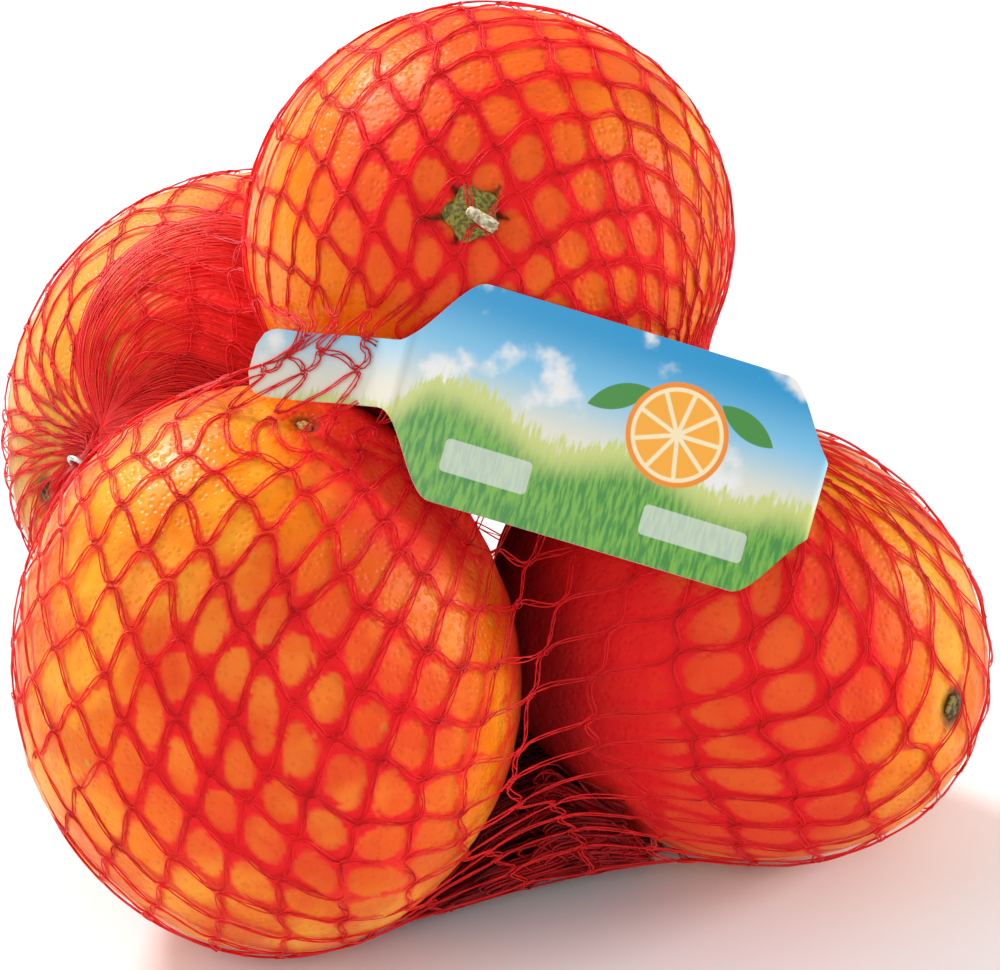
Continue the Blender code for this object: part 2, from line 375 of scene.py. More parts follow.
FRONT = Orange(
    "orange_front", (-34.6, -41.5, 44.4), 39.4, 1.144, (0.165, -0.311, -0.936),
    (Mark(Blemish.PIT, (0.145, 0.10, 0.984), 2.2),),
    (
        Glow((0.14, -0.95, 0.27), 32.0, 1.0, 0.50),
        Glow((0.56, 0.04, 0.84), 19.0, 0.8, 0.85),
        Glow((0.35, 0.2, -0.9), 26.0, 0.7, 0.1),
    ),
    0.55,
)
LEFT = Orange(
    "orange_left", (-40.8, 39.4, 39.4), 38.8, 1.111, (-0.359, -0.850, -0.386),
    (Mark(Blemish.SPOT, (-0.767, -0.639, 0.065), 2.9),),
    (Glow((0.42, -0.50, 0.75), 38.0, 0.9, 0.97), Glow((-0.3, 0.9, 0.2), 26.0, 0.6, 0.1)),
    0.9, "#CF9430", 0.3,
)
RIGHT = Orange(
    "orange_right", (40.1, -19.1, 35.9), 35.0, 1.175, (0.897, -0.259, -0.359),
    (Mark(Blemish.SCAR, (0.850, -0.520, 0.005), 3.4),),
    (
        Glow((0.02, -0.87, 0.45), 29.0, 1.0, 0.74),
        Glow((-0.70, -0.60, 0.40), 26.0, 0.9, 0.92),
        Glow((-0.05, -0.97, -0.2), 26.0, 1.0, 0.74),
        Glow((0.2, 0.9, 0.3), 24.0, 0.6, 0.1),
    ),
    0.6,
)
TOP = Orange(
    "orange_top", (0.1, 7.9, 94.5), 36.5, 1.055, (0.990, 0.137, -0.033),
    (
        Mark(Blemish.STEM, (-0.07, -0.80, 0.59), 3.8),
        Mark(Blemish.FURROW, (-0.31, -0.780, 0.54), 0.9, (-0.17, -0.80, 0.575)),
        Mark(Blemish.FURROW, (-0.16, -0.715, 0.68), 1.0, (-0.11, -0.76, 0.64)),
        Mark(Blemish.FURROW, (-0.15, -0.865, 0.475), 1.0, (-0.11, -0.83, 0.545)),
        Mark(Blemish.FURROW, (0.05, -0.73, 0.68), 0.9, (0.0, -0.77, 0.635)),
        Mark(Blemish.FURROW, (0.08, -0.815, 0.575), 0.9, (0.02, -0.805, 0.59)),
    ),
    (
        Glow((-0.10, -0.72, 0.68), 24.0, 1.0, 0.55),
        Glow((0.42, -0.80, 0.42), 20.0, 0.95, 0.32),
        Glow((0.1, 0.05, 0.99), 22.0, 0.7, 0.30),
        Glow((0.2, 0.9, 0.3), 24.0, 0.6, 0.1),
    ),
    0.15,
)
FRUIT = (FRONT, LEFT, RIGHT, TOP)


@dataclass(frozen=True)
class Gather:
    """A gathered end of the net: its mouth, the ways its neck and tail run, the clip's long way."""

    name: str
    mouth: tuple
    neck: tuple
    tail: tuple
    wide: tuple

    def frame(self) -> tuple:
        """Unit vectors out along the neck, and across it along the clip's long and short ways."""
        neck = unit(self.neck)
        wide = unit(np.asarray(self.wide) - neck * (neck @ np.asarray(self.wide)))
        return neck, wide, np.cross(neck, wide)


LEFT_GATHER = Gather(
    "left", (-63.0, 6.5, 55.4), (-0.66, -0.62, -0.42), (-0.45, -0.40, -0.80), (0.947, 0.17, 0.27)
)
RIGHT_GATHER = Gather(
    "right", (37.3, -15.4, 77.8), (0.32, -0.76, 0.56), (0.55, -0.60, 0.58), (0.90, 0.40, 0.10)
)


@dataclass(frozen=True)
class PeelFinish:
    """Orange peel: waxed, finely pitted rind, whose oil glands break its highlights into specks."""

    flesh: str = "#F2840A"
    deep: str = "#E26408"
    olive: str = "#B9A23E"
    # The net's red, painted on the peel as red light and as shadow bands; the shadow red is painted
    # shade in the creases
    net_red: str = "#EC1A20"
    shadow_red: str = "#8E0A10"
    gland: str = "#C9601C"
    blemish_and_shade_brown: str = "#33270C"
    gland_spacing: float = 1.15
    gland_share: float = 0.35
    olive_share: float = 0.55
    roughness: float = 0.33
    netted_roughness: float = 0.35
    relief_depth: float = 0.00022
    patterns: tuple = ((40.0, 2.0), (75.0, 3.0), (260.0, 1.0), (900.0, 2.0))

    def material(self, orange: Orange) -> bpy.types.Material:
        """The finish for one fruit.

        Args:
            orange: The fruit that wears it.

        Returns:
            Its material.
        """
        made, tree, shader = blank_material(
            orange.name.replace("orange", "waxed_orange_peel"),
            {
                "IOR": 1.45,
                "Specular IOR Level": 0.2,
                "Subsurface Weight": 0.10,
                "Subsurface Radius": (0.003, 0.0012, 0.0004),
                "Subsurface Scale": 1.0,
            },
        )
        place = add(tree, "ShaderNodeTexCoord").outputs["Object"]
        patches, sunny, spots, grain = [
            add(
                tree, "ShaderNodeTexNoise", {"Vector": place, "Scale": scale, "Detail": detail}
            ).outputs["Fac"]
            for scale, detail in self.patterns
        ]
        # Patches of riper rind about 25 mm across, and of paler rind about 13 mm across
        colour = mix(tree, ramp(tree, patches, 0.35, 0.65), linear(self.deep), linear(self.flesh))
        low = 0.62 - 0.35 * orange.yellow
        colour = mix(tree, ramp(tree, sunny, low, low + 0.25), colour, linear(orange.sunny))
        # Fine speckle of glands, one for each pore
        pores = add(
            tree,
            "ShaderNodeTexVoronoi",
            {"Vector": place, "Scale": 1.0 / (self.gland_spacing * MM), "Randomness": 0.9},
        ).outputs["Distance"]
        dark = ramp(tree, pores, 0.30, 0.08)
        # Olive spots where the rind ripened unevenly
        few = ramp(tree, spots, 0.70, 0.78)
        tints = ((dark, self.gland_share, self.gland), (few, self.olive_share, self.olive))
        for mask, share, tint in tints:
            faint = add(tree, "ShaderNodeMath", {0: mask, 1: share}, operation="MULTIPLY")
            colour = mix(tree, faint.outputs[0], colour, linear(tint))
        # Painted red light and shade from the netting: a red veil, partly the dense netting's own
        # red and partly painted red light, and painted red shadow bands under the strands
        veil, strand_shadow, mark, cavity = [
            add(tree, "ShaderNodeAttribute", attribute_name=name).outputs["Fac"]
            for name in ("net_veil", "net_band", "mark", "cavity")
        ]
        colour = mix(tree, veil, colour, linear(self.net_red))
        colour = mix(tree, strand_shadow, colour, linear(self.net_red))
        # Darker round each blemish: the scar's and spot's own colour, and painted shade at the stem
        # end and in its furrows
        colour = mix(tree, mark, colour, linear(self.blemish_and_shade_brown))
        # Painted dark red shade in the creases, where the net stands off the peel
        colour = mix(tree, cavity, colour, linear(self.shadow_red))
        covered = add(tree, "ShaderNodeMath", {0: veil, 1: strand_shadow}, operation="MAXIMUM").outputs[0]
        dull = add(
            tree,
            "ShaderNodeMath",
            {0: covered, 1: self.netted_roughness, 2: self.roughness},
            operation="MULTIPLY_ADD",
        ).outputs[0]
        tree.links.new(dull, shader.inputs["Roughness"])
        tree.links.new(colour, shader.inputs["Base Color"])
        # Pits of the glands, and a fine grain between them
        pit = ramp(tree, pores, 0.10, 0.55)
        relief = add(tree, "ShaderNodeMath", {0: grain, 1: 0.3, 2: pit}, operation="MULTIPLY_ADD")
        bump = add(
            tree,
            "ShaderNodeBump",
            {"Height": relief.outputs[0], "Strength": 0.55, "Distance": self.relief_depth},
        )
        tree.links.new(bump.outputs[0], shader.inputs["Normal"])
        return made


@dataclass(frozen=True)
class NetFinish:
    """Polyethylene monofilament: extruded, glossy, and slightly see-through red."""

    name: str = "red_polyethylene_filament"
    red: str = "#F5161A"
    deep: str = "#C90C12"
    roughness: float = 0.42

    def material(self) -> bpy.types.Material:
        """The filaments' material."""
        constants = {
            "Roughness": self.roughness,
            "IOR": 1.51,
            "Specular IOR Level": 0.25,
            "Subsurface Weight": 0.35,
            "Subsurface Radius": (0.002, 0.0003, 0.0003),
            "Subsurface Scale": 1.0,
        }
        return two_toned(self.name, (self.red, self.deep), (140.0, 2.0), (0.3, 0.7), constants)


@dataclass(frozen=True)
class WireFinish:
    """Aluminium wire: drawn, then squeezed, so it is satin with fine lines round its bend."""

    name: str = "drawn_aluminium_wire"
    silver: str = "#DCDAD8"
    dull: str = "#A9A6A4"

    def material(self) -> bpy.types.Material:
        """The clip's material."""
        constants = {"Metallic": 1.0, "Roughness": 0.38}
        tones = (self.silver, self.dull)
        return two_toned(self.name, tones, (1800.0, 3.0), (0.4, 0.7), constants, (0.4, 0.00005))


@dataclass(frozen=True)
class StemFinish:
    """Dried calyx and stem: woody, olive to brown, with a pale cut end."""

    name: str
    body: str
    shade: str
    grain: float

    def material(self) -> bpy.types.Material:
        """The material of one woody part."""
        tones, grain = (self.shade, self.body), (self.grain, 4.0)
        return two_toned(self.name, tones, grain, (0.4, 0.62), {"Roughness": 0.7}, (0.8, 0.0003))


@dataclass(frozen=True)
class CardFinish:
    """Printed card: a coated sheet with a meadow, a sky and a cut fruit, and white cut edges."""

    sky: str = "#1C93C9"
    high: str = "#7DBFE2"
    haze: str = "#DFDCCB"
    cloud: str = "#E6E7E6"
    straw: str = "#C6CF7C"
    leaf: str = "#76B043"
    grass: str = "#3F8A3A"
    rind: str = "#EF8A1D"
    pith: str = "#F3E3B8"
    pulp: str = "#F5A834"
    white: str = "#E9E7E3"
    fibre: str = "#DEDAD2"
    slice_centre: tuple = (10.0, 3.4)
    slice_radius: float = 8.2
    segments: int = 9
    blur: float = 0.1
    leaf_half: tuple = (5.2, 1.9)
    leaves: tuple = ((-1.0, 3.2, 0.5), (1.0, 4.4, -0.4))
    panels: tuple = (((-17.5, -9.8), (7.0, 2.6)), ((16.5, -10.6), (8.5, 2.4)))

    def patch(self, tree: bpy.types.NodeTree, spot, centre: tuple, half: tuple, radius: float):
        """A mask of a rounded rectangle on the card; with half its size for radius, a disc.

        Args:
            tree: The material's node tree.
            spot: The output that holds the place on the card, in millimetres.
            centre: The shape's middle.
            half: Half its length and height.
            radius: Its corners' radius.

        Returns:
            The output that is 1 inside the shape.
        """
        inner = (half[0] - radius, half[1] - radius, 0.0)
        place = spot
        steps = (
            ("SUBTRACT", (*centre, 0.0)), ("ABSOLUTE", (0.0,) * 3),
            ("SUBTRACT", inner), ("MAXIMUM", (0.0,) * 3),
        )
        for operation, other in steps:
            place = add(
                tree, "ShaderNodeVectorMath", {0: place, 1: other}, operation=operation
            ).outputs[0]
        far = add(tree, "ShaderNodeVectorMath", {0: place}, operation="LENGTH")
        return ramp(tree, far.outputs["Value"], radius + self.blur, radius - self.blur)

    def scaled(self, tree: bpy.types.NodeTree, value, factor: float, more=0.0):
        """An output times a factor, with something added."""
        node = add(
            tree, "ShaderNodeMath", {0: value, 1: factor, 2: more}, operation="MULTIPLY_ADD"
        )
        return node.outputs[0]

    def meadow(self, tree: bpy.types.NodeTree, along, upward, spot):
        """The picture behind: sky, clouds, haze, and a rolling meadow with blades of grass."""
        colour = mix(tree, ramp(tree, upward, 16.0, 5.0), linear(self.sky), linear(self.high))
        colour = mix(tree, ramp(tree, upward, 8.0, -3.0), colour, linear(self.haze))
        puffs = add(
            tree, "ShaderNodeTexNoise", {"Vector": spot, "Scale": 0.085, "Detail": 4.0}
        ).outputs["Fac"]
        colour = mix(tree, ramp(tree, puffs, 0.54, 0.66), colour, linear(self.cloud))
        roll = add(
            tree, "ShaderNodeTexNoise", {"W": along, "Scale": 0.05, "Detail": 0.0},
            noise_dimensions="1D",
        ).outputs["Fac"]
        tongue = self.scaled(tree, ramp(tree, along, -28.0, -36.0), -7.0)
        kept = add(tree, "ShaderNodeMath", {0: along, 1: -32.0}, operation="MAXIMUM").outputs[0]
        rise = self.scaled(tree, kept, -0.11, self.scaled(tree, roll, 12.0, -7.0))
        rise = self.scaled(tree, rise, 1.0, tongue)
        below = self.scaled(tree, upward, -1.0, rise)
        stretch = add(tree, "ShaderNodeMapping", {"Vector": spot, "Scale": (1.6, 0.28, 1.0)})
        blades = add(
            tree, "ShaderNodeTexNoise", {"Vector": stretch.outputs[0], "Scale": 1.0, "Detail": 5.0}
        ).outputs["Fac"]
        green = mix(tree, ramp(tree, blades, 0.38, 0.62), linear(self.leaf), linear(self.grass))
        green = mix(tree, ramp(tree, below, 7.0, 1.0), green, linear(self.straw))
        return mix(tree, ramp(tree, self.scaled(tree, blades, 9.0, below), 3.5, 5.5), colour, green)

    def cut_fruit(self, tree: bpy.types.NodeTree, colour, spot):
        """The motif: a round slice of orange, its segments parted by pith, with two leaves."""
        x, y = self.slice_centre
        big = self.slice_radius
        arc = (self.leaf_half[0] ** 2 + self.leaf_half[1] ** 2) / (2.0 * self.leaf_half[1])
        for side, rise, lean in self.leaves:
            middle = (x + side * (big + 2.2), y + rise)
            aside = arc - self.leaf_half[1]
            off = (math.sin(lean) * aside, math.cos(lean) * aside)
            one = self.patch(tree, spot, (middle[0] - off[0], middle[1] + off[1]), (arc,) * 2, arc)
            two = self.patch(tree, spot, (middle[0] + off[0], middle[1] - off[1]), (arc,) * 2, arc)
            leaf = add(tree, "ShaderNodeMath", {0: one, 1: two}, operation="MULTIPLY").outputs[0]
            colour = mix(tree, leaf, colour, linear(self.grass))
        for colour_code, share in ((self.rind, 1.0), (self.pith, 0.90), (self.pulp, 0.82)):
            disc = self.patch(tree, spot, (x, y), (big * share,) * 2, big * share)
            colour = mix(tree, disc, colour, linear(colour_code))
        off = add(tree, "ShaderNodeVectorMath", {0: spot, 1: (x, y, 0.0)}, operation="SUBTRACT")
        parts = add(tree, "ShaderNodeSeparateXYZ", {0: off.outputs[0]})
        turn = add(
            tree, "ShaderNodeMath", {0: parts.outputs[1], 1: parts.outputs[0]}, operation="ARCTAN2"
        ).outputs[0]
        apart = add(
            tree, "ShaderNodeMath", {0: turn, 1: math.pi / self.segments}, operation="PINGPONG"
        ).outputs[0]
        far = add(tree, "ShaderNodeVectorMath", {0: off.outputs[0]}, operation="LENGTH")
        line = add(
            tree, "ShaderNodeMath", {0: apart, 1: far.outputs["Value"]}, operation="MULTIPLY"
        ).outputs[0]
        seam = add(
            tree, "ShaderNodeMath",
            {
                0: ramp(tree, line, 0.45, 0.25),
                1: self.patch(tree, spot, (x, y), (big * 0.84,) * 2, big * 0.84),
            },
            operation="MULTIPLY",
        ).outputs[0]
        return mix(tree, seam, colour, linear(self.pith))

    def printed(self) -> bpy.types.Material:
        """The print on the front: its pattern reads the card's own flat map, in millimetres."""
        made, tree, shader = blank_material(
            "coated_card_print", {"Roughness": 0.34, "Coat Weight": 0.25, "Coat Roughness": 0.15}
        )
        flat = add(tree, "ShaderNodeUVMap", uv_map="flat").outputs[0]
        parts = add(tree, "ShaderNodeSeparateXYZ", {0: flat})
        along = self.scaled(tree, parts.outputs[0], MAP_SIZE)
        upward = self.scaled(tree, parts.outputs[1], MAP_SIZE)
        spot = add(tree, "ShaderNodeCombineXYZ", {0: along, 1: upward}).outputs[0]
        colour = self.meadow(tree, along, upward, spot)
        for centre, half in self.panels:
            panel = self.scaled(tree, self.patch(tree, spot, centre, half, 0.8), 0.55)
            colour = mix(tree, panel, colour, linear(self.cloud))
        colour = self.cut_fruit(tree, colour, spot)
        tree.links.new(colour, shader.inputs["Base Color"])
        return made

    def bare(self) -> bpy.types.Material:
        """The unprinted back and the cut edges."""
        tones = (self.white, self.fibre)
        return two_toned("bare_white_card", tones, (700.0, 3.0), (0.3, 0.7), {"Roughness": 0.6})


@dataclass
class NetForm:
    """The net's surface: a tube drawn over the fruit from the left gather to the right one."""

    core: tuple = (2.0, -3.0, 56.0)
    standoff: float = 0.42
    knots_round: int = 33
    rows: int = 32
    row_steps: int = 7
    column_steps: int = 4
    samples: int = 240
    gather_reach: float = 11.0
    free_beyond: float = 16.0
    sag_share: float = 0.85
    sag_deepest: float = 15.0
    sag_above: float = 7.0
    fill_passes: int = 48
    leg: float = 8.5
    shortest_row: float = 0.5
    bridges: tuple = (
        (0, 2, 0.95), (0, 1, 0.52), (1, 2, 0.97), (3, 0, 0.54), (3, 1, 0.60), (3, 2, 0.50),
    )
    bridge_steps: int = 17
    underside: float = 0.55
    underside_steps: int = 7
    stem_lift: float = 1.8
    stem_reach: float = 5.0
    floor_gap: float = 0.3
    grid: np.ndarray = field(init=False)

    def __post_init__(self) -> None:
        """Work out the fine grid of the surface."""
        angles = self.column_angles()
        lines = np.array([self.column_line(angle) for angle in angles])
        self.grid = self.evened(self.eased(lines.transpose(1, 0, 2)))

    def evened(self, grid: np.ndarray) -> np.ndarray:
        """The grid with long rows where the net is narrow, as a mesh's legs keep their length."""
        wide = np.linalg.norm(np.roll(grid, -1, 1) - np.roll(grid, 1, 1), axis=2) / 2.0
        wide = np.minimum(wide * self.column_steps / self.leg, 1.0)
        for _ in range(6):
            wide = (wide + np.roll(wide, 1, 1) + np.roll(wide, -1, 1)) / 3.0
        row = np.maximum(np.sqrt(np.maximum(1.0 - wide ** 2, 0.0)), self.shortest_row)
        step = np.linalg.norm(np.diff(grid, axis=0), axis=2) * 2.0 / (row[1:] + row[:-1])
        run = np.concatenate([np.zeros((1, grid.shape[1])), np.cumsum(step, axis=0)])
        stops = np.linspace(0.0, 1.0, len(grid))
        made = np.empty_like(grid)
        for column in range(grid.shape[1]):
            for k in range(3):
                share = run[:, column] / run[-1, column]
                made[:, column, k] = np.interp(stops, share, grid[:, column, k])
        return made

    def way_out(
        self, ways: np.ndarray, centre: np.ndarray, radius: float,
        stretch: float = 1.0, axis: tuple = (0.0, 0.0, 1.0),
    ) -> np.ndarray:
        """How far rays from the core run before they leave a spheroid, or -1 beside it."""
        lean = np.eye(3) + (1.0 / stretch - 1.0) * np.outer(unit(axis), unit(axis))
        start = lean @ (np.asarray(self.core) - centre)
        rays = ways @ lean
        square = (rays * rays).sum(1)
        half = rays @ start
        left = half * half - square * (start @ start - radius * radius)
        reach = (np.sqrt(np.maximum(left, 0.0)) - half) / square
        return np.where(left > 0.0, reach, -1.0)

    def fruit_reach(self, ways: np.ndarray, standoff: float) -> np.ndarray:
        """How far rays from the core run to where the net lies on the fruit."""
        reach = np.zeros(len(ways))
        for fruit in FRUIT:
            radius = fruit.radius + standoff
            out = self.way_out(ways, fruit.centre, radius, fruit.stretch, fruit.axis)
            reach = np.maximum(reach, out)
        return reach

    def net_reach(self, ways: np.ndarray) -> np.ndarray:
        """How far rays from the core run to the net, its bridges between the fruits with it."""
        core = np.asarray(self.core)
        reach = self.fruit_reach(ways, self.standoff)
        for first, second, waist in self.bridges:
            one, other = FRUIT[first], FRUIT[second]
            for share in np.linspace(0.0, 1.0, self.bridge_steps):
                centre = np.asarray(one.centre) * (1.0 - share) + np.asarray(other.centre) * share
                radius = one.radius * (1.0 - share) + other.radius * share
                radius *= 1.0 - (1.0 - waist) * math.sin(math.pi * share)
                reach = np.maximum(reach, self.way_out(ways, centre, radius))
        corners = (FRONT, LEFT, RIGHT)
        for a in np.linspace(0.0, 1.0, self.underside_steps):
            for b in np.linspace(0.0, 1.0 - a, self.underside_steps):
                shares = (a, b, 1.0 - a - b)
                centre = sum(s * np.asarray(c.centre) for s, c in zip(shares, corners))
                radius = sum(s * c.radius for s, c in zip(shares, corners)) * self.underside
                centre[2] = radius
                reach = np.maximum(reach, self.way_out(ways, centre, radius))
        stem = np.asarray(TOP.centre) + unit(TOP.marks[0].way) * TOP.radius
        off_stem = np.linalg.norm(core + ways * reach[:, None] - stem, axis=1)
        reach = reach + self.stem_lift * np.exp(-((off_stem / self.stem_reach) ** 2))
        down = np.minimum(ways[:, 2], -1e-6)
        floor = np.where(ways[:, 2] < 0.0, (self.floor_gap - core[2]) / down, np.inf)
        return np.minimum(reach, floor)

    def column_ways(self, angle: float, samples: int) -> np.ndarray:
        """Directions from the left gather to the right one, in the half plane at this angle."""
        core = np.asarray(self.core)
        start = unit(np.asarray(LEFT_GATHER.mouth) - core)
        end = unit(np.asarray(RIGHT_GATHER.mouth) - core)
        chord = unit(end - start)
        foot = start - chord * (chord @ start)
        side = unit(-foot)
        out = math.cos(angle) * side + math.sin(angle) * np.cross(chord, side)
        turn = np.linspace(0.0, math.pi, samples + 1)
        rays = np.outer(np.sin(turn), out) - np.outer(np.cos(turn), chord)
        toward = rays @ foot
        length = np.sqrt(toward * toward - (foot @ foot - 1.0)) - toward
        return unit(foot + rays * length[:, None])

    def column_angles(self) -> np.ndarray:
        """Angles of the fine columns, so that the knots share the net's girth evenly."""
        angles = np.linspace(0.0, TAU, 361)
        middle = np.array([self.column_ways(a, 2)[1] for a in angles])
        girth = middle * self.net_reach(middle)[:, None]
        run = run_along(girth)
        columns = 2 * self.knots_round * self.column_steps
        return np.interp(np.arange(columns) / columns * run[-1], run, angles)

    def column_line(self, angle: float) -> np.ndarray:
        """Points down one column, evenly spaced along the net."""
        core = np.asarray(self.core)
        ways = self.column_ways(angle, self.samples)
        reach = self.net_reach(ways)
        fruit = self.fruit_reach(ways, self.standoff)
        for gather in (LEFT_GATHER, RIGHT_GATHER):
            mouth = np.asarray(gather.mouth) - core
            far = np.linalg.norm(mouth)
            off = far * np.arccos(np.clip(ways @ mouth / far, -1.0, 1.0))
            pull = np.exp(-((off / self.gather_reach) ** 2))
            reach = np.maximum(reach * (1.0 - pull) + far * pull, fruit)
        line = core + ways * reach[:, None]
        run = run_along(line)
        stops = np.linspace(0.0, run[-1], self.rows * self.row_steps + 1)
        return np.column_stack([np.interp(stops, run, line[:, k]) for k in range(3)])

    def filled(self, reach: np.ndarray, free: np.ndarray) -> np.ndarray:
        """The net's reach with its sharpest hollows filled, as taut netting bridges them."""
        for _ in range(self.fill_passes):
            around = (np.roll(reach, 1, 1) + np.roll(reach, -1, 1)) / 2.0
            along = reach.copy()
            along[1:-1] = (reach[:-2] + reach[2:]) / 2.0
            reach = reach + free * (np.maximum(reach, 0.5 * (around + along)) - reach)
        return reach

    def eased(self, grid: np.ndarray) -> np.ndarray:
        """The grid let down into the creases between the fruits, with its hollows filled."""
        core = np.asarray(self.core)
        reach = np.linalg.norm(grid - core, axis=2)
        free = np.ones_like(reach)
        for gather in (LEFT_GATHER, RIGHT_GATHER):
            off = np.linalg.norm(grid - np.asarray(gather.mouth), axis=2)
            free *= 1.0 - np.exp(-((off / self.free_beyond) ** 2))
        reach = self.filled(reach, free)
        ways = unit(grid - core)
        fruit = self.fruit_reach(ways.reshape(-1, 3), self.standoff).reshape(reach.shape)
        high = core[2] + ways[:, :, 2] * reach
        above = np.clip((high - self.sag_above) / self.sag_above, 0.0, 1.0)
        slack = self.sag_share * (reach - fruit) / self.sag_deepest
        sag = self.sag_deepest * (1.0 - np.exp(-slack))
        reach = self.filled(reach - sag * free * above, free)
        return core + ways * reach[:, :, None]

    def point(self, row: np.ndarray, column: np.ndarray) -> np.ndarray:
        """Points of the surface at rows and columns of the knot lattice."""
        high = self.grid.shape[0] - 1
        r = np.clip(row * self.row_steps, 0.0, high - 1e-6)
        c = np.mod(column * self.column_steps, self.grid.shape[1])
        r0, c0 = np.floor(r).astype(int), np.floor(c).astype(int) % self.grid.shape[1]
        c1 = (c0 + 1) % self.grid.shape[1]
        fr, fc = (r - r0)[..., None], (c - np.floor(c))[..., None]
        near = self.grid[r0, c0] * (1.0 - fc) + self.grid[r0, c1] * fc
        far = self.grid[r0 + 1, c0] * (1.0 - fc) + self.grid[r0 + 1, c1] * fc
        return near * (1.0 - fr) + far * fr

    def places(self, points: np.ndarray) -> tuple:
        """Where points near the net lie in its lattice, and how wide a cell is there.

        Args:
            points: Rows of points, in millimetres.

        Returns:
            Rows, columns, the length of one row and of one column, and how far each point is
            from the net, in millimetres.
        """
        rows, columns = self.grid.shape[:2]
        tree = search_tree(self.grid.reshape(-1, 3))
        found = [tree.find(Vector(p)) for p in points]
        nearest = np.array([f[1] for f in found])
        apart = np.array([f[2] for f in found])
        i, j = np.clip(nearest // columns, 1, rows - 2), nearest % columns
        down = (self.grid[i + 1, j] - self.grid[i - 1, j]) / 2.0
        round_it = (self.grid[i, (j + 1) % columns] - self.grid[i, j - 1]) / 2.0
        off = points - self.grid[i, j]
        dd, cc, dc = (down ** 2).sum(1), (round_it ** 2).sum(1), (down * round_it).sum(1)
        od, oc = (off * down).sum(1), (off * round_it).sum(1)
        scale = np.maximum(dd * cc - dc * dc, 1e-9)
        row = (i + np.clip((od * cc - oc * dc) / scale, -1.0, 1.0)) / self.row_steps
        column = (j + np.clip((oc * dd - od * dc) / scale, -1.0, 1.0)) / self.column_steps
        return row, column, np.sqrt(dd) * self.row_steps, np.sqrt(cc) * self.column_steps, apart

    def room_within(self, points: np.ndarray) -> np.ndarray:
        """How far points of the net stand off the fruit, along the ray to the net's core."""
        core = np.asarray(self.core)
        ways = unit(points - core)
        flat = self.fruit_reach(ways.reshape(-1, 3), 0.0).reshape(points.shape[:-1])
        return np.linalg.norm(points - core, axis=-1) - flat

    def outward(self, points: np.ndarray) -> np.ndarray:
        """Unit vectors away from the net's core, bent towards the fruit's own normals."""
        best = unit(points - np.asarray(self.core))
        gap = np.full(points.shape[:-1], np.inf)
        normal = best.copy()
        for fruit in FRUIT:
            off = points - np.asarray(fruit.centre)
            axis = unit(fruit.axis)
            local = off - (1.0 - 1.0 / fruit.stretch) * (off @ axis)[..., None] * axis
            far = np.linalg.norm(local, axis=-1) - fruit.radius
            closer = far < gap
            gap = np.where(closer, far, gap)
            normal = np.where(closer[..., None], unit(local), normal)
        near = np.exp(-np.maximum(gap, 0.0) / 6.0)[..., None]
        return unit(best * (1.0 - near) + normal * near)


